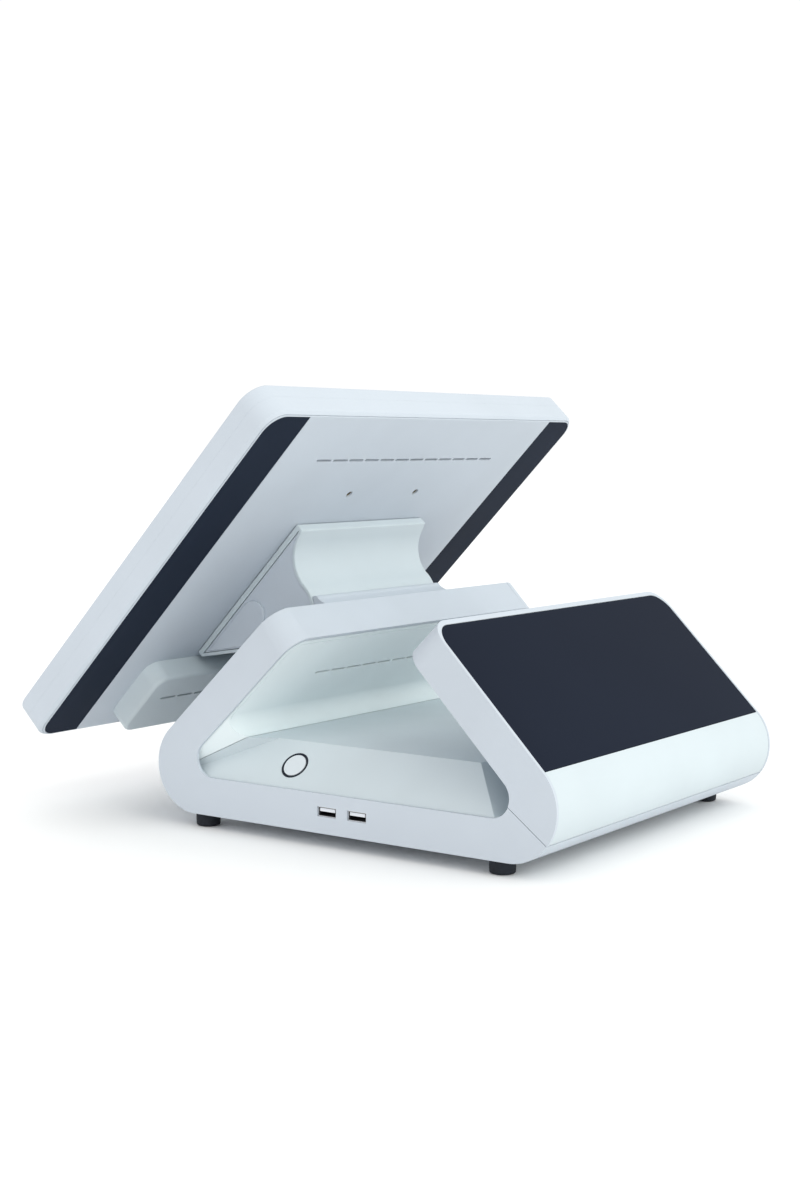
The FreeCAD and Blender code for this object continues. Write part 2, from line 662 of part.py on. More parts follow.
# USB sockets: folded metal shells with a tongue each
for i, key in ((1, "usb_first"), (2, "usb_second")):
    yy = val[key]
    zm = val["usb_mid"]
    b = new_body("usb_socket_%d" % i)
    s = new_sketch(b, "YZ_Plane", 122.0)
    add_rect(s, yy - 6.8, zm - 3.0, yy + 6.8, zm + 3.0, 0.6)
    pad(b, s, W - 0.3 - 122.0)
    s = new_sketch(b, "YZ_Plane", W + 0.5)
    add_rect(s, yy - 6.35, zm - 2.55, yy + 6.35, zm + 2.55, 0.3)
    pocket(b, s, 13.0)
    b = new_body("usb_tongue_%d" % i)
    s = new_sketch(b, "YZ_Plane", W + 0.5 - 12.95)
    add_rect(s, yy - 5.6, zm + 0.15, yy + 5.6, zm + 2.15)
    pad(b, s, 11.4)

# -------------------------------------------------------------- power button
b = new_body("power_button_ring", PL_BTN)
s = new_sketch(b, "XY_Plane", -3.2)
add_circle(s, 0, 0, val["ring_outer"])
add_circle(s, 0, 0, val["ring_inner"])
pad(b, s, 3.45)
s = new_sketch(b, "XY_Plane", -4.0)
add_circle(s, 0, 0, val["ring_outer"] + 1.2)
add_circle(s, 0, 0, val["ring_inner"])
pad(b, s, 0.9)
b = new_body("power_button_cap", PL_BTN)
s = new_sketch(b, "XY_Plane", -5.4)
add_circle(s, 0, 0, val["button_radius"])
f = pad(b, s, 5.9)
fillet(b, lambda e: abs(mid(e).z - 0.5) < 0.01 and e.Length > 20, 0.5)
s = new_sketch(b, "XY_Plane", -5.4)
add_circle(s, 0, 0, 8.9)
pad(b, s, 1.0)
s = new_sketch(b, "XY_Plane", -6.2)
add_circle(s, 0, 0, 2.0)
pad(b, s, 1.0)
b = new_body("power_switch", PL_BTN)
s = new_sketch(b, "XY_Plane", -13.0)
add_rect(s, -3.0, -3.0, 3.0, 3.0, 0.5)
pad(b, s, 3.6)
s = new_sketch(b, "XY_Plane", -9.6)
add_circle(s, 0, 0, 1.7)
pad(b, s, 2.0)
b = new_body("switch_board", PL_BTN)
s = new_sketch(b, "XY_Plane", -14.6)
add_rect(s, -9.0, -16.0, 9.0, 16.0, 1.0)
add_circle(s, 0, -13.2, 1.2)
add_circle(s, 0, 13.2, 1.2)
pad(b, s, 1.6)
b = new_body("switch_posts", PL_BTN)
b.AllowCompound = True
s = new_sketch(b, "XY_Plane", -13.0)
add_circle(s, 0, -13.2, 2.1)
add_circle(s, 0, 13.2, 2.1)
pad(b, s, 10.0)

# ---------------------------------------------------------------------- feet
FEET = [(-129.0, -114.5), (129.0, -114.5), (-129.0, 107.0), (129.0, 107.0)]
b = new_body("rubber_feet")
b.AllowCompound = True
s = new_sketch(b, "XY_Plane", 0.0)
for x, y in FEET:
    add_circle(s, x, y, val["foot_radius"])
pad(b, s, "dims.foot_height")
fillet(b, lambda e: abs(mid(e).z) < 0.01, 1.2)
# screws of the underside
b = new_body("base_screws")
b.AllowCompound = True
s = new_sketch(b, "XY_Plane", ZB - 1.8)
for x, y in SCREWS:
    add_circle(s, x, y, 2.9)
pad(b, s, 1.8)
s = new_sketch(b, "XY_Plane", ZB)
for x, y in SCREWS:
    add_circle(s, x, y, 1.45)
pad(b, s, 7.0)

# =========================================================== hinge, fixed side
pv_y = val["head_y"] + val["pivot_up"] * math.cos(AD) + val["pivot_back"] * math.sin(AD)
pv_z = val["head_z"] + val["pivot_up"] * math.sin(AD) - val["pivot_back"] * math.cos(AD)
# tilt axis in the support arm's frame
PA = ((pv_y + YC) * math.cos(AL) + (pv_z - ZB) * math.sin(AL), -(pv_y + YC) * math.sin(AL) + (pv_z - ZB) * math.cos(AL))
print("tilt axis y %.4f z %.4f, in the arm %.3f %.3f; button at %.3f %.3f %.3f along %.5f %.5f" % (pv_y, pv_z, PA[0], PA[1], bx, val["button_y"], bz, nb.x, nb.z))


def pa(r, a):
    return (PA[0] + r * math.cos(math.radians(a)), PA[1] + r * math.sin(math.radians(a)))


rc = val["cradle_radius"]
b = new_body("hinge_saddle", PL_ARM)
s = new_sketch(b, "YZ_Plane")
lip, low = pa(rc, -18), pa(rc, -106)
add_path(s, [
    ("L", (193.0, 0.0), (193.0, 0.9)),
    ("A", (193.0, 0.9), (184.6, 5.4), (179.6, 14.6)),
    ("A", (179.6, 14.6), (178.9, 17.6), lip),
    ("A", lip, pa(rc, -62), low),
    ("L", low, (low[0] - 1.4, low[1] - 0.2)),
    ("L", (low[0] - 1.4, low[1] - 0.2), (144.2, 0.0)),
    ("L", (144.2, 0.0), (193.0, 0.0)),
])
pad(b, s, 139.0, sym=True)
# opening for the steel bracket
s = new_sketch(b, "XY_Plane", 12.0)
add_rect(s, -58.0, 140.0, 58.0, 167.0, 1.0)
pocket(b, s, 14.0)

b = new_body("hinge_base_bracket", PL_ARM)
s = new_sketch(b, "XY_Plane", 0.0)
add_rect(s, -54.0, 144.5, 54.0, 164.5, 2.0)
for x, y in HB:
    add_circle(s, x, y, 2.2)
pad(b, s, 3.0)
# ears, their foot narrowed on the lower side where the head cover's edge swings past
for x0, x1 in ((46.0, 50.0), (-50.0, -46.0)):
    s = new_sketch(b, "YZ_Plane", x0)
    add_path(s, [
        ("L", (PA[0] - 7.2, 1.5), (PA[0] + 10, 1.5)),
        ("L", (PA[0] + 10, 1.5), (PA[0] + 10, PA[1])),
        ("A", (PA[0] + 10, PA[1]), (PA[0], PA[1] + 10), (PA[0] - 10, PA[1])),
        ("L", (PA[0] - 10, PA[1]), (PA[0] - 10, PA[1] - 5)),
        ("L", (PA[0] - 10, PA[1] - 5), (PA[0] - 7.2, PA[1] - 12)),
        ("L", (PA[0] - 7.2, PA[1] - 12), (PA[0] - 7.2, 1.5)),
    ])
    add_circle(s, PA[0], PA[1], val["shaft_radius"] + 0.02)
    pad(b, s, x1 - x0)
# hinge shaft with threaded ends
b = new_body("hinge_shaft", PL_ARM)
s = new_sketch(b, "YZ_Plane")
add_circle(s, PA[0], PA[1], val["shaft_radius"])
pad(b, s, 126.0, sym=True)
fillet(b, lambda e: abs(abs(mid(e).x) - 63.0) < 0.01, 0.8, "Chamfer", "PartDesign::Chamfer")
# disc springs that give the tilt its friction, one stack per side
b = new_body("friction_washers", PL_ARM)
b.AllowCompound = True
for x0, x1, ro_ in ((50.1, 50.9, 9.0), (55.1, 56.3, 9.0)):
    for sg in (1, -1):
        s = new_sketch(b, "YZ_Plane", x0 if sg > 0 else -x1)
        add_circle(s, PA[0], PA[1], ro_)
        add_circle(s, PA[0], PA[1], val["shaft_radius"] + 0.05)
        pad(b, s, x1 - x0)
b = new_body("hinge_nuts", PL_ARM)
b.AllowCompound = True
for x0 in (56.4, -61.4):
    s = new_sketch(b, "YZ_Plane", x0)
    add_loop(s, [(PA[0] + 9.2 * math.cos(math.radians(60 * i)), PA[1] + 9.2 * math.sin(math.radians(60 * i))) for i in range(6)])
    add_circle(s, PA[0], PA[1], val["shaft_radius"] + 0.03)
    pad(b, s, 5.0)
b = new_body("hinge_bracket_screws", PL_ARM)
b.AllowCompound = True
s = new_sketch(b, "XY_Plane", 3.0)
for x, y in HB:
    add_circle(s, x, y, 3.6)
pad(b, s, 2.0)
s = new_sketch(b, "XY_Plane", -6.5)
for x, y in HB:
    add_circle(s, x, y, 1.95)
pad(b, s, 9.5)

# ========================================================== hinge, moving side
PV = (val["pivot_up"], -val["pivot_back"])   # tilt axis in the head's frame (y, z)


def hv(up, back):
    """Head side view: distance up the head and distance behind its back face."""
    return (up, -back)


def on_b(r, a):
    return (PV[0] + r * math.cos(math.radians(a)), PV[1] - r * math.sin(math.radians(a)))


rb = val["barrel_radius"]
cc = (49.4, 31.5)                            # centre of the hollow of the S
rcc = math.hypot(cc[0] - val["pivot_up"], cc[1] - val["pivot_back"]) - rb
tan_a = math.degrees(math.atan2(cc[1] - val["pivot_back"], cc[0] - val["pivot_up"]))   # towards the hollow's centre


def on_h(r, a):
    return (cc[0] + r * math.cos(math.radians(a)), -(cc[1] + r * math.sin(math.radians(a))))


B_END = 33.0
low_tip = (-75.0, 4.8)
# lower face: tangent from the lower tip to the barrel
vx, vy = val["pivot_up"] - low_tip[0], val["pivot_back"] - low_tip[1]
dist = math.hypot(vx, vy)
la = math.degrees(math.atan2(vy, vx) + math.asin(rb / dist))


def shell(off, open_end):
    """Side outline of the head cover, moved inwards by off."""
    a_h0 = 252.0
    top1 = on_h(rcc + off, a_h0)
    slope_d = (math.sin(math.radians(a_h0)) * -1, math.cos(math.radians(a_h0)))
    lip_len = (49.5 - off - top1[0]) / slope_d[0]
    lip = (49.5 - off, top1[1] - slope_d[1] * lip_len)
    tang = on_b(rb - off, tan_a)
    endb = on_b(rb - off, B_END)
    aa = on_b(rb - off, 90 + la)
    nd = (-math.sin(math.radians(la)), math.cos(math.radians(la)))
    # lower tip, moved along both faces
    tx = low_tip[0] + off
    dl = (tx - (low_tip[0] - nd[0] * off)) / math.cos(math.radians(la))
    tip_b = (low_tip[1] - nd[1] * off) + dl * math.sin(math.radians(la))
    return lip, top1, on_h(rcc + off, (a_h0 + 180 + tan_a) / 2), tang, on_b(rb - off, (tan_a + B_END) / 2), endb, aa, (tx, -tip_b)


back0 = 0.4
b = new_body("hinge_head_cover", PL_HEAD)
lipO, topO, hO, tO, bO, eO, aO, tipO = shell(0.0, True)
s = new_sketch(b, "YZ_Plane")
add_path(s, [
    ("L", (lipO[0], -back0), lipO),
    ("L", lipO, topO),
    ("A", topO, hO, tO),
    ("A", tO, bO, eO),
    ("L", eO, aO),
    ("L", aO, tipO),
    ("L", tipO, (low_tip[0], -back0)),
    ("L", (low_tip[0], -back0), (lipO[0], -back0)),
])
pad(b, s, 10, sym=True).setExpression("Length", "2 * dims.cover_half")
doc.recompute()
# soft edge along the S on both sides
lipI, topI, hI, tI, bI, eI, aI, tipI = shell(2.2, True)
ex = (eO[0] - eI[0], eO[1] - eI[1]); el = math.hypot(*ex)
ax_ = (aO[0] - aI[0], aO[1] - aI[1]); al_ = math.hypot(*ax_)
eX = (eI[0] + ex[0] / el * 12, eI[1] + ex[1] / el * 12)
aX = (aI[0] + ax_[0] / al_ * 12, aI[1] + ax_[1] / al_ * 12)
s = new_sketch(b, "YZ_Plane")
add_path(s, [
    ("L", (lipI[0], 3.0), lipI),
    ("L", lipI, topI),
    ("A", topI, hI, tI),
    ("A", tI, bI, eI),
    ("L", eI, eX),
    ("L", eX, aX),
    ("L", aX, aI),
    ("L", aI, tipI),
    ("L", tipI, (tipI[0], 3.0)),
    ("L", (tipI[0], 3.0), (lipI[0], 3.0)),
])
pocket(b, s, 132.0, sym=True)
s = new_sketch(b, "YZ_Plane")
zf = -4.1
lip_s = meet(lipI, topI, (0, zf), (1, zf)) if abs(lipI[1]) < abs(zf) else None
if lip_s is None or lip_s[0] > lipI[0]:
    start = [("L", (lipI[0], zf), lipI), ("L", lipI, topI)]
    s0 = (lipI[0], zf)
else:
    start = [("L", lip_s, topI)]
    s0 = lip_s
if tipI[1] < zf:
    fin_ = [("L", aI, tipI), ("L", tipI, (tipI[0], zf)), ("L", (tipI[0], zf), s0)]
else:
    t0 = meet(aI, tipI, (0, zf), (1, zf))
    fin_ = [("L", aI, t0), ("L", t0, s0)]
add_path(s, start + [("A", topI, hI, tI), ("A", tI, bI, eI), ("L", eI, eX), ("L", eX, aX), ("L", aX, aI)] + fin_)
pocket(b, s, 200.0, sym=True)


# side panels, one each side, set a little below the cover's edge
gpan = 0.35
lipP, topP, hP, tP, bP, eP, aP, tipP = shell(2.2 + gpan, True)
zp = -4.6
for side in ("right", "left"):
    b = new_body("hinge_side_panel_" + side, PL_HEAD)
    s = new_sketch(b, "YZ_Plane", 66.4 if side == "right" else -69.6)
    low_mid = on_b(rb - 2.2 - gpan, (B_END + 90 + la) / 2)
    tq = meet(aP, tipP, (0, zp), (1, zp)) if tipP[1] > zp else None
    seg = [("L", (lipP[0], zp), lipP), ("L", lipP, topP)] if lipP[1] < zp else [("L", meet(lipP, topP, (0, zp), (1, zp)), topP)]
    first = seg[0][1]
    seg += [("A", topP, hP, tP), ("A", tP, bP, eP), ("A", eP, low_mid, aP)]
    if tq is None:
        seg += [("L", aP, tipP), ("L", tipP, (tipP[0], zp)), ("L", (tipP[0], zp), first)]
    else:
        seg += [("L", aP, tq), ("L", tq, first)]
    add_path(s, seg)
    pad(b, s, 3.2)
    # rounded side cap standing proud of the panel
    b = new_body("hinge_side_cap_" + side, PL_HEAD)
    s = new_sketch(b, "YZ_Plane", 69.6 if side == "right" else -71.4)
    cr = 9.8
    cy_, cb = -20.5, 16.6
    nd = (-math.sin(math.radians(la)), math.cos(math.radians(la)))
    offc = 3.3
    q1 = (low_tip[0] - nd[0] * offc, low_tip[1] - nd[1] * offc)
    dirl = (math.cos(math.radians(la)), math.sin(math.radians(la)))
    n_lo, n_hi = cb - cr, cb + cr
    pA = (q1[0] + dirl[0] * (n_lo - q1[1]) / dirl[1], n_lo)
    pB = (q1[0] + dirl[0] * (n_hi - q1[1]) / dirl[1], n_hi)
    add_path(s, [
        ("L", hv(*pA), hv(cy_, n_lo)),
        ("A", hv(cy_, n_lo), hv(cy_ + cr, cb), hv(cy_, n_hi)),
        ("L", hv(cy_, n_hi), hv(*pB)),
        ("L", hv(*pB), hv(*pA)),
    ])
    pad(b, s, 1.8)
    xo = 71.4 if side == "right" else -71.4
    fillet(b, lambda e, xo=xo: abs(mid(e).x - xo) < 0.01, 0.9)

# steel bracket that turns with the head
BS = [(x, y) for x in (-37.5, 37.5) for y in (0.5, -50.0)]
b = new_body("hinge_swing_bracket", PL_HEAD)
s = new_sketch(b, "XY_Plane", -3.4)
add_rect(s, -60.0, -66.0, 60.0, 34.0, 3.0)
for x, y in BS:
    add_circle(s, x, y, 2.2)
pad(b, s, 3.0)
for x0 in (51.0, -55.0):
    s = new_sketch(b, "YZ_Plane", x0)
    r_e = 12.0
    add_path(s, [
        ("L", (PV[0] + 24, -3.4), (PV[0] + r_e, PV[1] + 4)),
        ("L", (PV[0] + r_e, PV[1] + 4), (PV[0] + r_e, PV[1])),
        ("A", (PV[0] + r_e, PV[1]), (PV[0], PV[1] - r_e), (PV[0] - r_e, PV[1])),
        ("L", (PV[0] - r_e, PV[1]), (PV[0] - r_e, PV[1] + 4)),
        ("L", (PV[0] - r_e, PV[1] + 4), (PV[0] - 24, -3.4)),
        ("L", (PV[0] - 24, -3.4), (PV[0] + 24, -3.4)),
    ])
    add_circle(s, PV[0], PV[1], val["shaft_radius"] + 0.05)
    pad(b, s, 4.0)
b = new_body("swing_bracket_screws", PL_HEAD)
b.AllowCompound = True
s = new_sketch(b, "XY_Plane", -6.0)
for x, y in BS:
    add_circle(s, x, y, 3.7)
pad(b, s, 2.6)
s = new_sketch(b, "XY_Plane", -3.4)
for x, y in BS:
    add_circle(s, x, y, 1.95)
pad(b, s, 9.0)

# =============================================================== display head
HW, HH, HT = val["head_width"] / 2, val["head_height"] / 2, val["head_thick"]
cr = val["head_corner"]
b = new_body("display_rear_cover", PL_HEAD)
s = new_sketch(b, "XY_Plane", 0.0)
add_rect(s, -HW, -HH, HW, HH, cr)
pad(b, s, "dims.cover_depth")
fillet(b, lambda e: abs(mid(e).z) < 0.01, 2.6, "Chamfer", "PartDesign::Chamfer")
CD = val["cover_depth"]
s = new_sketch(b, "XY_Plane", CD)
add_rect(s, -HW + 2.4, -HH + 2.4, HW - 2.4, HH - 2.4, cr - 2.4)
pocket(b, s, CD - 2.6)
# recesses of the two dark side strips
s = new_sketch(b, "XY_Plane", 0.0)
so, sw, sh = val["strip_outer"] / 2, val["strip_width"], val["strip_height"] / 2
for sg in (1, -1):
    add_loop(s, [(sg * (so - sw), -sh), (sg * so, -sh, 13.0), (sg * so, sh, 13.0), (sg * (so - sw), sh)])
pocket(b, s, 1.0, rev=True)
# vents, mounting holes, opening behind the connector box
s = new_sketch(b, "XY_Plane", -1.0)
slot_row(s, 12, 106.7)
pocket(b, s, 5.0, rev=True)
vp, vh = val["vesa_pitch"] / 2, val["vesa_high"]
s = new_sketch(b, "XY_Plane", -1.0)
for x, y in [(-vp, vh), (vp, vh)] + BS:
    add_circle(s, x, y, 2.6)
add_rect(s, -96.0, -128.0, 96.0, -107.0, 2.0)
pocket(b, s, 6.0, rev=True)

for sg, nm in ((1, "right"), (-1, "left")):
    b = new_body("side_strip_" + nm, PL_HEAD)
    s = new_sketch(b, "XY_Plane", 0.05)
    add_loop(s, [(sg * (so - sw + 0.15), -sh + 0.15), (sg * (so - 0.15), -sh + 0.15, 12.85), (sg * (so - 0.15), sh - 0.15, 12.85), (sg * (so - sw + 0.15), sh - 0.15)])
    pad(b, s, 0.9)

# front frame: a rim flush with the cover, with a recess for the glass
b = new_body("display_front_frame", PL_HEAD)
s = new_sketch(b, "XY_Plane", CD + 0.2)
add_rect(s, -HW, -HH, HW, HH, cr)
pad(b, s, HT - CD - 0.2)
fillet(b, lambda e: abs(mid(e).z - HT) < 0.01, 1.2)
s = new_sketch(b, "XY_Plane", HT)
add_rect(s, -HW + 3.8, -HH + 3.8, HW - 3.8, HH - 3.8, cr - 3.8)
pocket(b, s, val["glass_thick"] + 0.1)
s = new_sketch(b, "XY_Plane", HT)
add_rect(s, -HW + 8.0, -HH + 8.0, HW - 8.0, HH - 8.0, cr - 8.0)
pocket(b, s, 20.0)

b = new_body("touch_glass", PL_HEAD)
s = new_sketch(b, "XY_Plane", HT - val["glass_thick"] - 0.05)
add_rect(s, -HW + 4.0, -HH + 4.0, HW - 4.0, HH - 4.0, cr - 4.0)
pad(b, s, "dims.glass_thick")

b = new_body("lcd_panel", PL_HEAD)
s = new_sketch(b, "XY_Plane", 9.6)
add_rect(s, -163.3, -126.8, 163.3, 126.8, 2.0)
pad(b, s, 11.2)
b = new_body("lcd_chassis", PL_HEAD)
s = new_sketch(b, "XY_Plane", 8.0)
add_rect(s, -166.4, -138.0, 166.4, 138.0, 8.0)
pad(b, s, 1.4)
s = new_sketch(b, "XY_Plane", 9.4)
add_rect(s, -166.4, -138.0, 166.4, 138.0, 8.0)
add_rect(s, -165.0, -136.6, 165.0, 136.6, 6.6)
pad(b, s, 10.8)

# threaded inserts behind the mounting holes
b = new_body("vesa_inserts", PL_HEAD)
b.AllowCompound = True
s = new_sketch(b, "XY_Plane", 2.62)
for x, y in [(-vp, vh), (vp, vh)] + BS:
    add_circle(s, x, y, 4.5)
    add_circle(s, x, y, 2.0)
pad(b, s, 5.3)
# the two open inserts have a nose that centres them in the cover's holes
s = new_sketch(b, "XY_Plane", 1.2)
for x in (-vp, vp):
    add_circle(s, x, vh, 2.5)
    add_circle(s, x, vh, 2.0)
pad(b, s, 1.42)

b = new_body("touch_controller_board", PL_HEAD)
s = new_sketch(b, "XY_Plane", 4.2)
add_rect(s, -26.0, -44.0, 28.0, 44.0, 1.5)
pad(b, s, 1.6)
s = new_sketch(b, "XY_Plane", 5.8)
for x0, y0, x1, y1 in ((-18, -30, -2, -14), (6, 8, 22, 20), (-20, 18, -6, 36), (4, -38, 22, -32)):
    add_rect(s, x0, y0, x1, y1)
pad(b, s, 1.6)

# connector box on the back of the head
BW, BD = val["box_width"] / 2, val["box_depth"]
yt, yb_ = val["box_top"], val["box_bottom"]
b = new_body("connector_box", PL_HEAD)
s = new_sketch(b, "XY_Plane", -BD)
add_rect(s, -BW, yb_, BW, yt, 10.0)
pad(b, s, BD - 0.02)
fillet(b, lambda e: abs(mid(e).z + BD) < 0.01, 2.4)
s = new_sketch(b, "XY_Plane", 0.5)
add_rect(s, -BW + 2.2, yb_ + 2.2, BW - 2.2, yt - 2.2, 7.8)
pocket(b, s, BD - 2.2 + 0.5)
s = new_sketch(b, "XY_Plane", -BD - 1)
slot_row(s, 12, -101.0)
pocket(b, s, 5.0, rev=True)
# sockets look down through the lower wall
s = new_sketch(b, "XZ_Plane", -yb_ + 1.0)
add_circle(s, -66.0, -8.0, 4.6)
add_rect(s, -42.2, -12.2, -25.8, -1.5, 0.3)
pocket(b, s, 5.0, rev=False)

b = new_body("connector_board", PL_HEAD)
s = new_sketch(b, "XY_Plane", -1.6)
add_rect(s, -92.0, -126.0, 92.0, -88.0, 2.0)
pad(b, s, 1.55)
b = new_body("dc_inlet", PL_HEAD)
s = new_sketch(b, "XZ_Plane", -yb_ - 0.3)
add_circle(s, -66.0, -8.0, 4.4)
pad(b, s, 14.0, rev=True)
s = new_sketch(b, "XZ_Plane", -yb_ - 2.6)
add_loop(s, [(-71.0, -12.8), (-61.0, -12.8), (-61.0, -1.7), (-71.0, -1.7)])
pad(b, s, 12.0, rev=True)
s = new_sketch(b, "XZ_Plane", -yb_ - 0.3)
add_circle(s, -66.0, -8.0, 3.2)
add_circle(s, -66.0, -8.0, 1.0)
pocket(b, s, 9.5, rev=False)
b = new_body("lan_socket", PL_HEAD)
s = new_sketch(b, "XZ_Plane", -yb_ - 0.3)
add_loop(s, [(-42.0, -12.0), (-26.0, -12.0), (-26.0, -1.7), (-42.0, -1.7)])
pad(b, s, 20.0, rev=True)
s = new_sketch(b, "XZ_Plane", -yb_)
add_rect(s, -40.0, -11.0, -28.0, -4.2)
pocket(b, s, 14.0, rev=False)

# ------------------------------------------------------------- check and write
doc.recompute()
bad = []
for o in doc.Objects:
    st = list(o.State)
    if "Invalid" in st or "Error" in st:
        bad.append((o.Label, st))
if bad:
    raise RuntimeError("failed objects: %r" % bad)
labels = [l for l, _ in PARTS]
assert len(labels) == len(set(labels)), "labels repeat"
os.makedirs("parts", exist_ok=True)
for label, o in PARTS:
    sh = o.Shape
    if sh.isNull() or not sh.isValid() or sh.Volume <= 0 or not sh.Solids:
        raise RuntimeError("bad shape %s" % label)
for label, o in PARTS:
    o.Shape.exportStep("parts/%s.step" % label)
    bb = o.Shape.BoundBox
    print("%-26s solids %2d vol %10.1f  x %7.1f %7.1f  y %7.1f %7.1f  z %7.1f %7.1f" % (
        label, len(o.Shape.Solids), o.Shape.Volume, bb.XMin, bb.XMax, bb.YMin, bb.YMax, bb.ZMin, bb.ZMax))
print("parts:", len(PARTS))
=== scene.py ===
import json, math
import bpy, bmesh
from mathutils import Vector, Matrix


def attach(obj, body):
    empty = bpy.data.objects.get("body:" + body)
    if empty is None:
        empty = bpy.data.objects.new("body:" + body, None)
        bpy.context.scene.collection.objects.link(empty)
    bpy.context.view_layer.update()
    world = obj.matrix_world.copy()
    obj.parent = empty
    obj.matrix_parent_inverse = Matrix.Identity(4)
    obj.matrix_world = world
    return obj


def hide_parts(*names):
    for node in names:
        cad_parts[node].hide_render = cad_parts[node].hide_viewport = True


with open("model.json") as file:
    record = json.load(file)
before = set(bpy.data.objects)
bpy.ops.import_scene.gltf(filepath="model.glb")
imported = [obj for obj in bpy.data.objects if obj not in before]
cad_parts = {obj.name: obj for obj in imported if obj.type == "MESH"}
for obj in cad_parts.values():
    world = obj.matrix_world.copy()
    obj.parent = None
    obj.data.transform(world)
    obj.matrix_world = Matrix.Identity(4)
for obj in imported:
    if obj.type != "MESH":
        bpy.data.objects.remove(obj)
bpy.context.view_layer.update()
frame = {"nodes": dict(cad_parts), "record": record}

SC = bpy.context.scene
NODES = frame["nodes"]


# ---------------------------------------------------------------- materials
def lin(v):
    v = v / 255.0
    return v / 12.92 if v <= 0.04045 else ((v + 0.055) / 1.055) ** 2.4


def rgb(r, g, b):
    return (lin(r), lin(g), lin(b), 1.0)


class Tree:
    """A material's nodes, with short names for the few kinds used here."""

    def __init__(self, name):
        self.m = bpy.data.materials.new(name)
        self.m.use_nodes = True
        self.t = self.m.node_tree
        self.b = self.t.nodes["Principled BSDF"]
        self.co = self.t.nodes.new("ShaderNodeTexCoord")

    def node(self, kind, **kw):
        n = self.t.nodes.new(kind)
        for k, v in kw.items():
            setattr(n, k, v)
        return n

    def link(self, a, b):
        self.t.links.new(a, b)

    def noise(self, scale, detail=4.0, rough=0.5, stretch=None):
        n = self.node("ShaderNodeTexNoise")
        n.inputs["Scale"].default_value = scale
        n.inputs["Detail"].default_value = detail
        n.inputs["Roughness"].default_value = rough
        if stretch:
            mp = self.node("ShaderNodeMapping")
            mp.inputs["Scale"].default_value = stretch
            self.link(self.co.outputs["Object"], mp.inputs["Vector"])
            self.link(mp.outputs["Vector"], n.inputs["Vector"])
        else:
            self.link(self.co.outputs["Object"], n.inputs["Vector"])
        return n.outputs["Fac"]

    def cells(self, scale):
        n = self.node("ShaderNodeTexVoronoi")
        n.inputs["Scale"].default_value = scale
        self.link(self.co.outputs["Object"], n.inputs["Vector"])
        return n.outputs["Distance"]

    def ramp(self, fac, a, b, lo=0.35, hi=0.65):
        n = self.node("ShaderNodeValToRGB")
        n.color_ramp.elements[0].position = lo
        n.color_ramp.elements[1].position = hi
        n.color_ramp.elements[0].color = a
        n.color_ramp.elements[1].color = b
        self.link(fac, n.inputs["Fac"])
        return n.outputs["Color"]

    def span(self, fac, lo, hi):
        n = self.node("ShaderNodeMapRange")
        n.inputs["To Min"].default_value = lo
        n.inputs["To Max"].default_value = hi
        self.link(fac, n.inputs["Value"])
        return n.outputs["Result"]

    def bump(self, height, strength, distance, normal=None):
        n = self.node("ShaderNodeBump")
        n.inputs["Strength"].default_value = strength
        n.inputs["Distance"].default_value = distance
        self.link(height, n.inputs["Height"])
        if normal is not None:
            self.link(normal, n.inputs["Normal"])
        return n.outputs["Normal"]

    def set(self, name, value):
        self.b.inputs[name].default_value = value


def tone(c, k):
    return (min(1, c[0] * k), min(1, c[1] * k), min(1, c[2] * k), 1.0)


def plastic(name, colour, rough, grain=0.25, spread=0.04, size=2600.0, spec=0.4):
    """Moulded plastic: spark-eroded grain, slow sink marks and a little unevenness in gloss and tint."""
    k = Tree(name)
    slow = k.noise(9.0, 3.0, 0.55)
    k.link(k.ramp(slow, tone(colour, 1.0 - spread), tone(colour, 1.0 + spread * 0.5)), k.b.inputs["Base Color"])
    mott = k.noise(60.0, 5.0, 0.6)
    k.link(k.span(mott, rough - 0.05, rough + 0.06), k.b.inputs["Roughness"])
    fine = k.noise(size, 3.0, 0.65)
    n1 = k.bump(fine, grain, 0.00006)
    n2 = k.bump(slow, 0.12, 0.0006, n1)
    k.link(n2, k.b.inputs["Normal"])
    k.set("Specular IOR Level", spec)
    return k.m


def metal(name, colour, rough, stretch=(40.0, 900.0, 900.0), grain=0.2, spread=0.08):
    """Brushed or rolled metal: long scratches one way, soft cloudy tone."""
    k = Tree(name)
    k.set("Metallic", 1.0)
    slow = k.noise(14.0, 4.0, 0.6)
    k.link(k.ramp(slow, tone(colour, 1.0 - spread), tone(colour, 1.0 + spread)), k.b.inputs["Base Color"])
    br = k.noise(1.0, 4.0, 0.6, stretch)
    k.link(k.span(br, rough - 0.07, rough + 0.09), k.b.inputs["Roughness"])
    k.link(k.bump(br, grain, 0.00005), k.b.inputs["Normal"])
    return k.m


def glass_front(name, colour, rough=0.2, ior=1.06):
    """Glass with a printed black back: deep tint, polish with the faintest haze and waviness."""
    k = Tree(name)
    slow = k.noise(5.0, 2.0, 0.5)
    k.link(k.ramp(slow, tone(colour, 0.93), tone(colour, 1.06)), k.b.inputs["Base Color"])
    smear = k.noise(38.0, 6.0, 0.62)
    k.link(k.span(smear, rough - 0.03, rough + 0.05), k.b.inputs["Roughness"])
    k.link(k.bump(slow, 0.05, 0.0004), k.b.inputs["Normal"])
    k.set("IOR", ior)
    return k.m


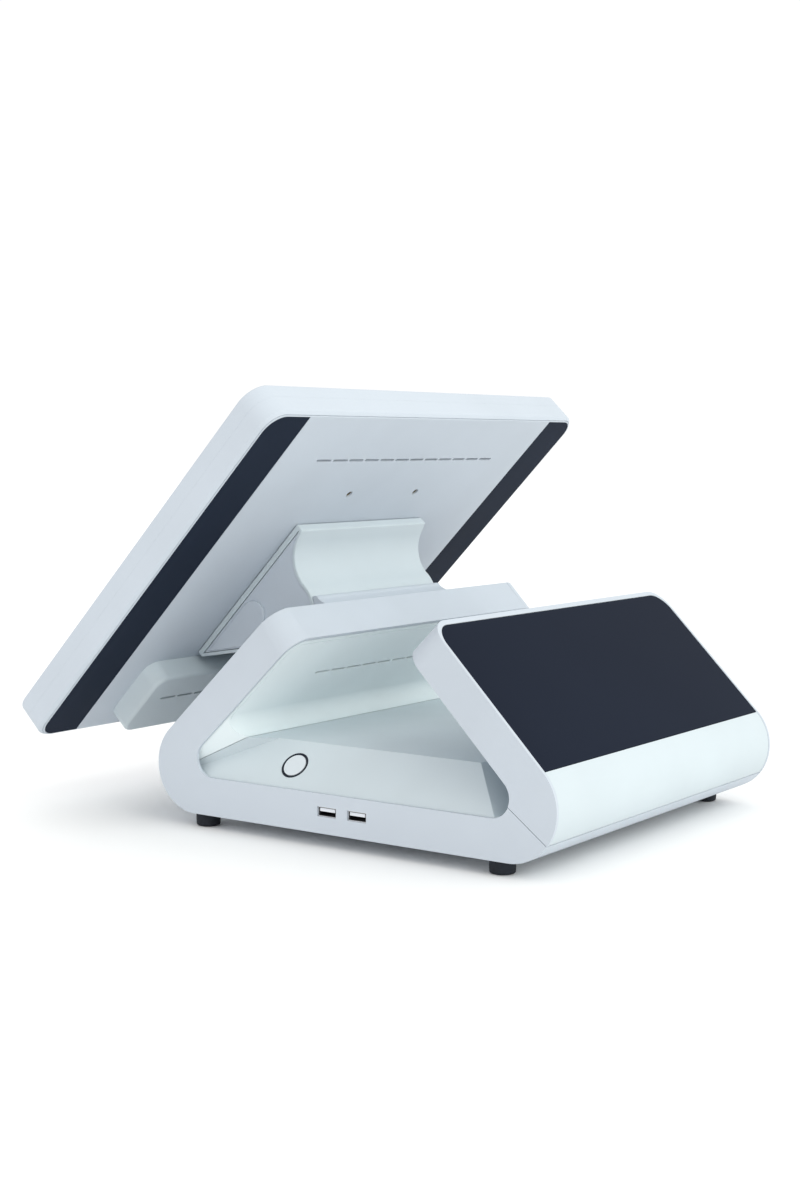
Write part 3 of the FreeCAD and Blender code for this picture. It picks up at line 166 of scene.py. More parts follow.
def screen_glass(name, border, active, half_w, half_h):
    """Glass over a display: a black printed border round the slightly lighter, bluer active area."""
    k = Tree(name)
    sep = k.node("ShaderNodeSeparateXYZ")
    k.link(k.co.outputs["Object"], sep.inputs[0])

    def calc(op, a, b, c=None):
        n = k.node("ShaderNodeMath")
        n.operation = op
        for socket, v in zip(n.inputs, (a, b, c)):
            if v is None:
                continue
            if isinstance(v, (int, float)):
                socket.default_value = v
            else:
                k.link(v, socket)
        return n.outputs[0]
    high = calc("MULTIPLY_ADD", sep.outputs[2], 0.7165, calc("MULTIPLY_ADD", sep.outputs[1], 0.6976, 0.1236 * 0.6976 - 0.1549 * 0.7165))
    out_x = calc("SUBTRACT", calc("ABSOLUTE", sep.outputs[0], None), half_w)
    out_y = calc("SUBTRACT", calc("ABSOLUTE", high, None), half_h)
    outside = calc("MULTIPLY_ADD", calc("MAXIMUM", out_x, out_y), 2500.0, 0.5)
    k.link(k.ramp(outside, active, border, 0.0, 1.0), k.b.inputs["Base Color"])
    smear = k.noise(38.0, 6.0, 0.62)
    k.link(k.span(smear, 0.14, 0.24), k.b.inputs["Roughness"])
    k.link(k.bump(k.noise(5.0, 2.0, 0.5), 0.05, 0.0004), k.b.inputs["Normal"])
    k.set("IOR", 1.2)
    return k.m


def rubber(name, colour):
    k = Tree(name)
    mott = k.noise(120.0, 5.0, 0.6)
    k.link(k.ramp(mott, tone(colour, 0.85), tone(colour, 1.25)), k.b.inputs["Base Color"])
    k.link(k.span(mott, 0.62, 0.8), k.b.inputs["Roughness"])
    k.link(k.bump(k.noise(2200.0, 3.0, 0.7), 0.35, 0.0001), k.b.inputs["Normal"])
    k.set("Specular IOR Level", 0.3)
    return k.m


def board(name):
    """Circuit board: solder mask over copper fill, with fine traces."""
    k = Tree(name)
    cells = k.cells(420.0)
    k.link(k.ramp(cells, rgb(10, 70, 44), rgb(22, 98, 62), 0.05, 0.3), k.b.inputs["Base Color"])
    k.link(k.span(k.noise(90.0), 0.3, 0.45), k.b.inputs["Roughness"])
    k.link(k.bump(cells, 0.2, 0.0001), k.b.inputs["Normal"])
    return k.m


MAT = {
    "white_shell": plastic("white_shell", rgb(198, 206, 215), 0.5, spec=0.2),
    "white_cover": plastic("white_cover", rgb(203, 213, 218), 0.5, spec=0.2),
    "white_cap": plastic("white_cap", rgb(214, 221, 226), 0.34, grain=0.12, spec=0.2),
    "dark_ring": plastic("dark_ring", rgb(34, 39, 50), 0.45, spec=0.15),
    "dark_glass": glass_front("dark_glass", rgb(30, 36, 49), 0.2, 1.06),
    "dark_strip": glass_front("dark_strip", rgb(36, 43, 56), 0.35, 1.06),
    "foot_rubber": rubber("foot_rubber", rgb(30, 34, 42)),
    "panel_module": plastic("panel_module", rgb(34, 35, 38), 0.5),
    "module_frame": metal("module_frame", (0.62, 0.63, 0.65, 1), 0.38),
    "chassis_steel": metal("chassis_steel", (0.55, 0.56, 0.58, 1), 0.42),
    "bracket_steel": metal("bracket_steel", (0.52, 0.53, 0.55, 1), 0.36),
    "shaft_steel": metal("shaft_steel", (0.60, 0.60, 0.62, 1), 0.24, (30.0, 700.0, 700.0)),
    "screw_steel": metal("screw_steel", (0.30, 0.30, 0.32, 1), 0.34),
    "board_green": board("board_green"),
    "chip_black": plastic("chip_black", rgb(28, 28, 30), 0.55),
    "sink_aluminium": metal("sink_aluminium", (0.72, 0.73, 0.75, 1), 0.34),
    "drive_case": metal("drive_case", (0.45, 0.46, 0.48, 1), 0.4),
    "socket_metal": metal("socket_metal", (0.62, 0.63, 0.65, 1), 0.28),
    "tongue_white": plastic("tongue_white", rgb(228, 232, 238), 0.35),
    "socket_black": plastic("socket_black", rgb(30, 31, 34), 0.5),
    "insert_brass": metal("insert_brass", (0.34, 0.25, 0.12, 1), 0.42),
}

SCREEN = screen_glass("screen_glass", rgb(17, 19, 24), rgb(38, 45, 60), 0.1525, 0.1145)
# A lighter copy of the white plastic for the arm's inner panel: painted light, standing in for the light that falls on
# that face.
PANEL_PAINTED_LIGHT = plastic("white_inside_painted_light", rgb(234, 243, 245), 0.5, spec=0.2)
SLOT = {s["node"]: s["material_slot"] for s in frame["record"]["subparts"]}
for name, ob in NODES.items():
    ob.data.materials.clear()
    ob.data.materials.append(MAT[SLOT[name]])


# ------------------------------------------------------------ shaping helpers
# Everything below is shaped in millimetres and brought to metres at the end.
def arc(c, r, a0, a1, step=4.0):
    n = max(2, int(math.ceil(abs(a1 - a0) / math.radians(step) - 1e-9)))
    return [(c[0] + r * math.cos(a0 + (a1 - a0) * i / n), c[1] + r * math.sin(a0 + (a1 - a0) * i / n)) for i in range(n + 1)]


def tidy(pts):
    out = []
    for p in pts:
        if not out or math.hypot(p[0] - out[-1][0], p[1] - out[-1][1]) > 1e-3:
            out.append(p)
    if math.hypot(out[0][0] - out[-1][0], out[0][1] - out[-1][1]) < 1e-3:
        out.pop()
    return out


def loop(pts, step=4.0):
    """Closed outline; each point is (x, y) or (x, y, radius) for a rounded corner."""
    n, out = len(pts), []
    for i in range(n):
        a, b, c = pts[i - 1], pts[i], pts[(i + 1) % n]
        r = b[2] if len(b) > 2 else 0.0
        if r <= 0:
            out.append((b[0], b[1]))
            continue
        u = Vector((a[0] - b[0], a[1] - b[1])).normalized()
        v = Vector((c[0] - b[0], c[1] - b[1])).normalized()
        half = math.acos(max(-1, min(1, u.dot(v)))) / 2
        tl = r / math.tan(half)
        w = (u + v).normalized() * (r / math.sin(half))
        ce = (b[0] + w.x, b[1] + w.y)
        p1 = (b[0] + u.x * tl, b[1] + u.y * tl)
        p2 = (b[0] + v.x * tl, b[1] + v.y * tl)
        a0 = math.atan2(p1[1] - ce[1], p1[0] - ce[0])
        a1 = math.atan2(p2[1] - ce[1], p2[0] - ce[0])
        while a1 - a0 > math.pi:
            a1 -= 2 * math.pi
        while a1 - a0 < -math.pi:
            a1 += 2 * math.pi
        out += arc(ce, r, a0, a1, step)
    return tidy(out)


def rect(x0, y0, x1, y1, r=0.0, step=6.0):
    return loop([(x0, y0, r), (x1, y0, r), (x1, y1, r), (x0, y1, r)], step)


def circle(x, y, r, n=48):
    return [(x + r * math.cos(2 * math.pi * i / n), y + r * math.sin(2 * math.pi * i / n)) for i in range(n)]


def path(segs, step=4.0):
    """Closed outline from ('L', p, q) and ('A', p, through, q) pieces."""
    out = []
    for g in segs:
        if g[0] == "L":
            out += [g[1], g[2]]
            continue
        (x1, y1), (x2, y2), (x3, y3) = g[1:]
        d = 2 * (x1 * (y2 - y3) + x2 * (y3 - y1) + x3 * (y1 - y2))
        ux = ((x1 ** 2 + y1 ** 2) * (y2 - y3) + (x2 ** 2 + y2 ** 2) * (y3 - y1) + (x3 ** 2 + y3 ** 2) * (y1 - y2)) / d
        uy = ((x1 ** 2 + y1 ** 2) * (x3 - x2) + (x2 ** 2 + y2 ** 2) * (x1 - x3) + (x3 ** 2 + y3 ** 2) * (x2 - x1)) / d
        r = math.hypot(x1 - ux, y1 - uy)
        a0, am, a1 = (math.atan2(y - uy, x - ux) for x, y in g[1:])
        up = (a1 - a0) % (2 * math.pi)
        if (am - a0) % (2 * math.pi) <= up:
            a1 = a0 + up
        else:
            a1 = a0 + up - 2 * math.pi
        out += arc((ux, uy), r, a0, a1, step)
    return tidy(out)


AXES = {"YZ": lambda u, v, t: (t, u, v), "XY": lambda u, v, t: (u, v, t), "XZ": lambda u, v, t: (u, t, v)}


def prism(outline, lo, hi, plane="YZ", at=None):
    """A closed solid: an outline in the plane, run from lo to hi across it."""
    f = AXES[plane]
    bm = bmesh.new()
    a = [bm.verts.new(f(u, v, lo)) for u, v in outline]
    b = [bm.verts.new(f(u, v, hi)) for u, v in outline]
    bm.faces.new(a)
    bm.faces.new(b)
    n = len(a)
    for i in range(n):
        bm.faces.new((a[i], a[(i + 1) % n], b[(i + 1) % n], b[i]))
    bmesh.ops.recalc_face_normals(bm, faces=bm.faces[:])
    if bm.calc_volume(signed=True) < 0:
        bmesh.ops.reverse_faces(bm, faces=bm.faces[:])
    if at is not None:
        bm.transform(at)
    me = bpy.data.meshes.new("shape")
    bm.to_mesh(me)
    bm.free()
    return me


def tube_ring(r_in, r_out, lo, hi, at=None, n=72):
    """A ring with a rectangular section about its own Z."""
    bm = bmesh.new()
    rows = []
    for r, z in ((r_in, lo), (r_out, lo), (r_out, hi), (r_in, hi)):
        rows.append([bm.verts.new((r * math.cos(2 * math.pi * i / n), r * math.sin(2 * math.pi * i / n), z)) for i in range(n)])
    for k in range(4):
        p, q = rows[k], rows[(k + 1) % 4]
        for i in range(n):
            bm.faces.new((p[i], p[(i + 1) % n], q[(i + 1) % n], q[i]))
    bmesh.ops.recalc_face_normals(bm, faces=bm.faces[:])
    if bm.calc_volume(signed=True) < 0:
        bmesh.ops.reverse_faces(bm, faces=bm.faces[:])
    if at is not None:
        bm.transform(at)
    me = bpy.data.meshes.new("shape")
    bm.to_mesh(me)
    bm.free()
    return me


def lathe(profile, at=None, n=72):
    """A closed solid of revolution about Z from (radius, height) points that start and end on the axis."""
    bm = bmesh.new()
    rows = []
    for r, z in profile:
        if r < 1e-6:
            rows.append([bm.verts.new((0, 0, z))])
        else:
            rows.append([bm.verts.new((r * math.cos(2 * math.pi * i / n), r * math.sin(2 * math.pi * i / n), z)) for i in range(n)])
    for p, q in zip(rows, rows[1:]):
        for i in range(n):
            j = (i + 1) % n
            if len(p) == 1:
                bm.faces.new((p[0], q[j], q[i]))
            elif len(q) == 1:
                bm.faces.new((p[i], p[j], q[0]))
            else:
                bm.faces.new((p[i], p[j], q[j], q[i]))
    bmesh.ops.recalc_face_normals(bm, faces=bm.faces[:])
    if bm.calc_volume(signed=True) < 0:
        bmesh.ops.reverse_faces(bm, faces=bm.faces[:])
    if at is not None:
        bm.transform(at)
    me = bpy.data.meshes.new("shape")
    bm.to_mesh(me)
    bm.free()
    return me


WORK = bpy.data.collections.new("work")
SC.collection.children.link(WORK)


def clean(me, angle=0.06):
    bm = bmesh.new()
    bm.from_mesh(me)
    bmesh.ops.remove_doubles(bm, verts=bm.verts[:], dist=2e-4)
    bmesh.ops.dissolve_degenerate(bm, dist=1e-4, edges=bm.edges[:])
    bmesh.ops.dissolve_limit(bm, angle_limit=math.radians(angle), verts=bm.verts[:], edges=bm.edges[:])
    bm.to_mesh(me)
    bm.free()
    return me


def join(meshes):
    """Several closed meshes as one, for cutting in one go."""
    bm = bmesh.new()
    for me in meshes:
        bm.from_mesh(me)
    out = bpy.data.meshes.new("shape")
    bm.to_mesh(out)
    bm.free()
    return out


def combine(a, b, how):
    oa = bpy.data.objects.new("wa", a)
    ob = bpy.data.objects.new("wb", b)
    WORK.objects.link(oa)
    WORK.objects.link(ob)
    m = oa.modifiers.new("b", "BOOLEAN")
    m.operation = how
    m.solver = "EXACT"
    m.use_self = False
    m.object = ob
    dg = bpy.context.evaluated_depsgraph_get()
    me = bpy.data.meshes.new_from_object(oa.evaluated_get(dg))
    bpy.data.objects.remove(oa)
    bpy.data.objects.remove(ob)
    if len(me.polygons) == 0:
        raise RuntimeError("nothing left after " + how)
    return clean(me)


def cut(a, *tools):
    for t in tools:
        a = combine(a, t, "DIFFERENCE")
    return a


def fuse(a, *tools):
    for t in tools:
        a = combine(a, t, "UNION")
    return a


def both(a, b):
    return combine(a, b, "INTERSECT")


def corner_tool(x, s, r, n0, n1, at, over=3.0):
    """What is taken off a square corner at (x, s) to round it to r; x carries its sign."""
    sg = 1 if x > 0 else -1
    ax = abs(x)
    a = arc((ax - r, s - r), r, math.pi / 2, 0.0, 4.0)
    pts = a + [(ax + over, s - r), (ax + over, s + over), (ax - r, s + over)]
    return prism([(sg * p, q) for p, q in tidy(pts)], n0, n1, "XY", at)


def round_edges(me, width, segments=3, angle=25.0, pick=None):
    bm = bmesh.new()
    bm.from_mesh(me)
    bm.normal_update()
    es = []
    for e in bm.edges:
        if len(e.link_faces) != 2 or e.calc_face_angle(0.0) < math.radians(angle):
            continue
        if pick is not None and not pick(e):
            continue
        es.append(e)
    if es:
        bmesh.ops.bevel(bm, geom=es, offset=width, offset_type="OFFSET", segments=segments, profile=0.5,
                        affect="EDGES", clamp_overlap=True, miter_outer="SHARP", miter_inner="SHARP", loop_slide=True)
    bm.to_mesh(me)
    bm.free()
    return me


def convex(e):
    return e.is_convex


def piece(name, me, mat, body, nodes=(), rounding=0.6, segments=3, angle=25.0, pick=None, smooth=35.0, cast=True):
    """Brings a shape to metres, rounds its edges, smooths it and attaches it to its body."""
    if rounding:
        round_edges(me, rounding, segments, angle, pick)
    me.transform(Matrix.Scale(0.001, 4))
    me.name = name
    for p in me.polygons:
        p.use_smooth = True
    me.set_sharp_from_angle(angle=math.radians(smooth))
    me.materials.clear()
    me.materials.append(MAT[mat] if isinstance(mat, str) else mat)
    for p in me.polygons:
        p.material_index = 0
    o = bpy.data.objects.new(name, me)
    SC.collection.objects.link(o)
    w = o.modifiers.new("normals", "WEIGHTED_NORMAL")
    w.keep_sharp = True
    w.weight = 90
    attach(o, body)
    if nodes:
        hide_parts(*nodes)
    return o

# ------------------------------------------------------------- dimensions, mm
W, T, ZB, YC = 140.5, 24.25, 8.7, 192.5
AL, AR, AD = math.radians(43.27), math.radians(45.62), math.radians(45.76)
SL, SR, TW, TS = 194.6, 184.8, 2.2, 2.5
ZT, ZH = ZB + T, 58.0
BAO, BAI, BCO, BCI = 30.1, 11.65, 31.6, 12.1
RUN, GAP = 24.3, 0.3
AT_ARM = Matrix.Translation((0, -YC, ZB)) @ Matrix.Rotation(AL, 4, "X")
AT_CUST = Matrix.Translation((0, YC, ZB)) @ Matrix.Rotation(math.pi, 4, "Z") @ Matrix.Rotation(AR, 4, "X")
AT_HEAD = Matrix.Translation((0, -123.6, 154.9)) @ Matrix.Rotation(AD, 4, "X")


def arm(up, out):
    return (-YC + up * math.cos(AL) - out * math.sin(AL), ZB + up * math.sin(AL) + out * math.cos(AL))


def cust(up, out):
    return (YC - up * math.cos(AR) + out * math.sin(AR), ZB + up * math.sin(AR) + out * math.cos(AR))


def meet(p1, p2, p3, p4):
    x1, y1 = p1; x2, y2 = p2; x3, y3 = p3; x4, y4 = p4
    den = (x1 - x2) * (y3 - y4) - (y1 - y2) * (x3 - x4)
    a = x1 * y2 - y1 * x2
    b = x3 * y4 - y3 * x4
    return ((a * (x3 - x4) - (x1 - x2) * b) / den, (a * (y3 - y4) - (y1 - y2) * b) / den)


def polar(c, r, deg):
    return (c[0] + r * math.cos(math.radians(deg)), c[1] + r * math.sin(math.radians(deg)))


def slots(count, up, n0, n1, at, length=15.0, high=2.0, pitch=16.75):
    out = []
    for i in range(count):
        cx = (i - (count - 1) / 2.0) * pitch
        out.append(prism(rect(cx - length / 2, up - high / 2, cx + length / 2, up + high / 2, high / 2 - 0.02, 22.0), n0, n1, "XY", at))
    return join(out)


# ------------------------------------------------------------ stand: the ribbon
in_l = meet(arm(0, -T), arm(100, -T), (0, ZT), (1, ZT))
in_r = meet(cust(0, -T), cust(100, -T), (0, ZT), (1, ZT))
ribbon = [arm(SL, 0), (-YC, ZB, BAO), (YC, ZB, BCO), cust(SR, 0), cust(SR, -T), (in_r[0], in_r[1], BCI), (in_l[0], in_l[1], BAI), arm(SL, -T)]
bend_c = (YC - BCO / math.tan(AR / 2), ZB + BCO)
sdir = (math.cos(math.radians(-36.9)), math.sin(math.radians(-36.9)))


def seam_pt(r, off=0.0):
    return (bend_c[0] + sdir[0] * r - sdir[1] * off, bend_c[1] + sdir[1] * r + sdir[0] * off)


me = prism(loop(ribbon, 2.5), -W, W)
me = cut(me, prism(loop([seam_pt(-20, -0.25), seam_pt(60, -0.25), (260, seam_pt(60)[1]), (260, 200), (40, 200), (40, 100), (60, seam_pt(-20)[1] + 10)]), -W - 5, W + 5))
me = cut(me, join([corner_tool(s * W, SL, 16.0, -T - 2, 2, AT_ARM) for s in (1, -1)]))
a_out, a_low = arm(SL - 2.8, -TS), arm(0, -TS)
c_l = meet(a_low, a_out, (0, ZB + TS), (1, ZB + TS))
c_r = meet(cust(0, -TS), cust(100, -TS), (0, ZB + TS), (1, ZB + TS))
cav = prism(loop([a_out, (c_l[0], c_l[1], BAO - TS), (c_r[0], c_r[1], BCO - TS), cust(110, -TS), arm(SL - 2.8, -T - 5)], 3.0), -(W - TW), W - TW)
cav = cut(cav, join([corner_tool(s * (W - TW), SL - 2.8, 13.6, -T - 14, 0, AT_ARM) for s in (1, -1)]))
me = cut(me, cav)
me = round_edges(me, 0.8, 3, 25.0, lambda e: abs((e.verts[0].co.x + e.verts[1].co.x) / 2) > W - 18 and e.is_convex)
SCREWS = [(x, y) for x in (-100.0, 0.0, 100.0) for y in (-96.0, 84.0)]
HB = [(x, y) for x in (-32.0, 32.0) for y in (148.3, 160.3)]
USB = (-10.3, 12.1)
ZU = 22.15
me = cut(me, join([prism(rect(y - 7.1, ZU - 3.05, y + 7.1, ZU + 3.05, 0.4, 30.0), W - 4, W + 1) for y in USB]))
me = cut(me, join([prism(circle(x, y, 1.7, 20), ZB - 1, ZB + 4, "XY") for x, y in SCREWS]),
         join([prism(circle(x, y, 2.2, 20), -4, 1, "XY", AT_ARM) for x, y in HB]))
piece("stand_housing", me, "white_shell", "base", ["base_housing"], rounding=0)

# ------------------------------------------------------- electronics top cover
slope = (ZH - ZT) / RUN
EX = W - TW - 0.5
YE = 82.0
ye2 = YE + (ZH - ZT)
SEAM_A, SEAM_B = (-113.6, 43.9), (-82.2, 59.9)
sv = Vector((SEAM_B[0] - SEAM_A[0], SEAM_B[1] - SEAM_A[1])).normalized()


def in_seam(a, off):
    return (SEAM_A[0] + sv.x * a - sv.y * off, SEAM_A[1] + sv.y * a + sv.x * off)


RIB = ZT - 2.3
br_c = (in_r[0] - BCI / math.tan(AR / 2), ZT + BCI)
K = 2.5
cov = prism(loop([(-EX, RIB), (EX, RIB), (EX, ZT), (EX - RUN, ZH), (-EX + RUN, ZH), (-EX, ZT)]), -125.0, ye2 + 12.0, "XZ")
cov = cut(cov, prism(loop([(YE, ZH), (ye2, ZT), (ye2 + 60, ZT), (ye2 + 60, 120), (YE, 120)]), -200, 200))
cov = cut(cov, prism(loop([(-EX + 3.2, RIB - 1), (EX - 3.2, RIB - 1), (EX - 3.4, ZT - 0.6), (EX - RUN - 1.1, ZH - K), (-EX + RUN + 1.1, ZH - K), (-EX + 3.4, ZT - 0.6)]), -76.0, YE - 1.0, "XZ"))
cov = cut(cov, prism(loop([(YE - 2.0, ZH - K), (YE - 1.0, ZH - K), (ye2 - 5.0, RIB - 1), (YE - 2.0, RIB - 1)]), -(EX - RUN - 1.1), EX - RUN - 1.1))
wedge = prism(loop([(-EX, -T), (EX, -T), (EX - 30.0 / slope, -T - 30.0), (-EX + 30.0 / slope, -T - 30.0)]), 60.0, 124.0, "XZ", AT_ARM)
rf = 9.2
corner_y = meet(arm(0, -T), arm(100, -T), (0, ZH), (1, ZH))[0]
f_c = (corner_y + rf / math.tan(AL / 2), ZH + rf)
f_up, f_lo = (f_c[0] - rf * math.sin(AL), f_c[1] + rf * math.cos(AL)), (f_c[0], ZH)
f_mid = polar(f_c, rf, (270.0 + 90.0 + math.degrees(AL)) / 2)
arm_low = meet(arm(0, -T), arm(100, -T), (0, 36.0), (1, 36.0))
prof = prism(path([("L", arm_low, f_up), ("A", f_up, f_mid, f_lo), ("L", f_lo, (-60.0, ZH)), ("L", (-60.0, ZH), (-60.0, 36.0)), ("L", (-60.0, 36.0), arm_low)], 5.0), -EX, EX)
wedge = both(wedge, prof)
li, lo = BCI, BCI + 2.3
la1 = math.degrees(math.atan2(40.5 - br_c[1], 117.1 - br_c[0])) - 1.2
lip = prism(path([
    ("A", polar(br_c, li, -90), polar(br_c, li, (la1 - 90) / 2), polar(br_c, li, la1)),
    ("L", polar(br_c, li, la1), polar(br_c, lo, la1 - 5.5)),
    ("A", polar(br_c, lo, la1 - 5.5), polar(br_c, lo, (la1 - 90) / 2), polar(br_c, lo, -90)),
    ("L", polar(br_c, lo, -90), polar(br_c, li, -90))], 5.0), -EX, EX)
whole = fuse(cov, lip, wedge.copy())
seam_low = prism(loop([in_seam(-40, -GAP / 2), in_seam(38, -GAP / 2), (in_seam(38, -GAP / 2)[0], 90), (160, 90), (160, 0), (in_seam(-40, 0)[0], 0)]), -200, 200)
seam_high = prism(loop([in_seam(-40, GAP / 2), in_seam(38, GAP / 2), (0, in_seam(38, GAP / 2)[1] + 1), (0, 160), (in_seam(-40, 0)[0], 160)]), -200, 200)
limit = prism(loop([(-118.0, RIB - 0.5), (-129.0, RIB - 0.5), arm(64.0, -T + 2.0), arm(140.0, -T + 2.0), (0, 130), (ye2 + 20, 130), (ye2 + 20, 36.0), (ye2 + 3, RIB - 0.5)]), -200, 200)
me = both(both(whole, seam_low), limit)
me = round_edges(me, 0.7, 3, 20.0, lambda e: e.is_convex and e.calc_length() > 1.0 and min(v.co.z for v in e.verts) > ZT + 0.5)
bev = math.atan2(ZH - ZT, RUN)
bx, bz = EX - 16.6 * math.cos(bev), ZT + 16.6 * math.sin(bev)
AT_BTN = Matrix.Translation((bx, -45.9, bz)) @ Matrix.Rotation(math.pi / 2 - math.atan2(math.cos(bev), math.sin(bev)), 4, "Y")
me = cut(me, prism(circle(0, 0, 9.25, 72), -10, 4, "XY", AT_BTN))
piece("electronics_cover", me, "white_cover", "base", ["base_top_cover"], rounding=0)

# ------------------------------------------------------- inside of the tall arm
pan = prism(loop([(-EX, 66.0), (EX, 66.0), (EX, SL - 3.1, 13.0), (-EX, SL - 3.1, 13.0)]), -T, -T + 2.3, "XY", AT_ARM)
pan = fuse(both(pan, seam_high), both(wedge, seam_high))
pan = round_edges(pan, 0.6, 3, 20.0, lambda e: e.is_convex and e.calc_length() > 1.0 and min(v.co.z for v in e.verts) > ZT + 12.0)
pan = cut(pan, slots(10, 153.7, -T - 4, -T + 6, AT_ARM))
groove = cut(prism(loop([(-EX + 2.9, 60.0), (EX - 2.9, 60.0), (EX - 2.9, SL - 6.0, 10.4), (-EX + 2.9, SL - 6.0, 10.4)]), -T - 1, -T + 0.35, "XY", AT_ARM),
             prism(loop([(-EX + 3.4, 50.0), (EX - 3.4, 50.0), (EX - 3.4, SL - 6.5, 9.9), (-EX + 3.4, SL - 6.5, 9.9)]), -T - 2, -T + 2, "XY", AT_ARM))
pan = cut(pan, groove)
piece("arm_inside_panel", pan, PANEL_PAINTED_LIGHT, "base", ["arm_inner_panel"], rounding=0)

# -------------------------------------------------------------- customer's arm
me = prism(loop(ribbon, 2.5), -W, W)
me = cut(me, prism(loop([seam_pt(-30, 0.15), seam_pt(60, 0.15), (seam_pt(60)[0], -20), (-260, -20), (-260, 200), (0, 200), (0, 90), (60, seam_pt(-30)[1])]), -W - 5, W + 5))
me = cut(me, join([corner_tool(s * W, SR, 16.0, -T - 2, 2, AT_CUST) for s in (1, -1)]))
e1 = cust(SR - 3.3, -T + TS)
e2 = meet(cust(0, -T + TS), cust(100, -T + TS), (0, ZT - TS), (1, ZT - TS))
cav = prism(loop([e1, (e2[0], e2[1], BCI + TS), (60, ZT - TS), (60, -30), (280, -30), cust(SR - 3.3, 70)], 3.0), -(W - TW), W - TW)
cav = cut(cav, join([corner_tool(s * (W - TW), SR - 3.3, 13.8, -T - 1, 90, AT_CUST) for s in (1, -1)]))
me = cut(me, cav)
me = round_edges(me, 0.8, 3, 25.0, lambda e: e.is_convex and (abs((e.verts[0].co.x + e.verts[1].co.x) / 2) > W - 18 or min(v.co.z for v in e.verts) > 120))
piece("customer_arm_shell", me, "white_shell", "base", ["customer_arm_housing"], rounding=0)
ro, ri, aa0, aa1 = BCO - 0.1, BCO - 2.3, 90.0 - math.degrees(AR), -36.4
GX = W - TW - 0.2
me = prism(path([
    ("A", polar(bend_c, ro, aa0), polar(bend_c, ro, (aa0 + aa1) / 2), polar(bend_c, ro, aa1)),
    ("L", polar(bend_c, ro, aa1), polar(bend_c, ri, aa1)),
    ("A", polar(bend_c, ri, aa1), polar(bend_c, ri, (aa0 + aa1) / 2), polar(bend_c, ri, aa0)),
    ("L", polar(bend_c, ri, aa0), polar(bend_c, ro, aa0))], 2.5), -GX, GX)
piece("customer_arm_apron", me, "white_cover", "base", ["customer_arm_skirt"], rounding=0.2, segments=2)
s_bot = BCO / math.tan(AR / 2) + 0.3
me = prism(loop([(-GX, s_bot), (GX, s_bot), (GX, SR - 3.5, 13.5), (-GX, SR - 3.5, 13.5)], 4.0), -2.7, -0.15, "XY", AT_CUST)
piece("customer_display_glass", me, "dark_glass", "base", ["customer_glass"], rounding=0.3, segments=2)

# ------------------------------------------------------------------------ feet
FEET = [(-129.0, -114.5), (129.0, -114.5), (-129.0, 107.0), (129.0, 107.0)]
foot = [(0, 0.5), (3.0, 0.5), (3.6, 0.0)] + [polar((6.4, 1.2), 1.2, a) for a in range(-90, 1, 15)] + [(7.75, 4.0), (7.75, 8.2), (7.45, 8.65), (0, 8.65)]
piece("feet", join([lathe(foot, Matrix.Translation((x, y, 0)), 56) for x, y in FEET]), "foot_rubber", "base", ["rubber_feet"], rounding=0)

# ------------------------------------------------------------------ USB sockets
for i, y in enumerate(USB, 1):
    sh = prism(rect(y - 6.8, ZU - 3.0, y + 6.8, ZU + 3.0, 0.6, 15.0), 122.0, W - 0.9)
    sh = cut(sh, prism(rect(y - 6.35, ZU - 2.55, y + 6.35, ZU + 2.55, 0.3, 30.0), W - 12.5, W + 2))
    piece("usb_shell_%d" % i, sh, "socket_metal", "base", ["usb_socket_%d" % i], rounding=0)
    # A thin black sheet lining the metal shell: painted shade, standing in for the shade inside the socket.
    shade_sheet = prism(rect(y - 6.33, ZU - 2.53, y + 6.33, ZU + 2.53, 0.3, 30.0), W - 12.4, W - 1.0)
    shade_sheet = cut(shade_sheet, prism(rect(y - 6.05, ZU - 2.25, y + 6.05, ZU + 2.25, 0.2, 30.0), W - 12.0, W + 2))
    piece("usb_painted_shade_%d" % i, shade_sheet, "socket_black", "base", rounding=0)
    pads = []
    for c, wide in ((-3.5, 0.9), (-1.0, 0.8), (1.0, 0.8), (3.5, 0.9)):
        pads.append(prism(rect(y + c - wide / 2, ZU - 0.02, y + c + wide / 2, ZU + 0.16, 0.05, 45.0), W - 9.5, W - 2.2))
    piece("usb_contacts_%d" % i, join(pads), "insert_brass", "base", rounding=0)

# ---------------------------------------------------------------- power button
ring = [(7.9, -4.0), (10.4, -4.0), (10.4, -3.1), (9.2, -3.1), (9.2, 0.0)] + [polar((8.95, 0.0), 0.25, a) for a in (15, 45, 75)] + [(8.2, 0.25), (7.9, 0.0)]


def lathe_closed(profile, at, n=72):
    bm = bmesh.new()
    rows = [[bm.verts.new((r * math.cos(2 * math.pi * i / n), r * math.sin(2 * math.pi * i / n), z)) for i in range(n)] for r, z in profile]
    for k in range(len(rows)):
        p, q = rows[k], rows[(k + 1) % len(rows)]
        for i in range(n):
            bm.faces.new((p[i], p[(i + 1) % n], q[(i + 1) % n], q[i]))
    bmesh.ops.recalc_face_normals(bm, faces=bm.faces[:])
    if bm.calc_volume(signed=True) < 0:
        bmesh.ops.reverse_faces(bm, faces=bm.faces[:])
    bm.transform(at)
    me = bpy.data.meshes.new("shape")
    bm.to_mesh(me)
    bm.free()
    return me


piece("button_ring", lathe_closed(ring, AT_BTN), "dark_ring", "base", ["power_button_ring"], rounding=0)
cap = [(0, -6.2), (2.0, -6.2), (2.0, -5.4), (8.9, -5.4), (8.9, -4.4), (7.6, -4.4), (7.6, 0.0)] + [polar((7.1, 0.0), 0.5, a) for a in (15, 35, 55, 75, 90)] + [(5.0, 0.46), (2.5, 0.43), (0, 0.42)]
piece("button_face", lathe(cap, AT_BTN, 72), "white_cap", "power_button", ["power_button_cap"], rounding=0)

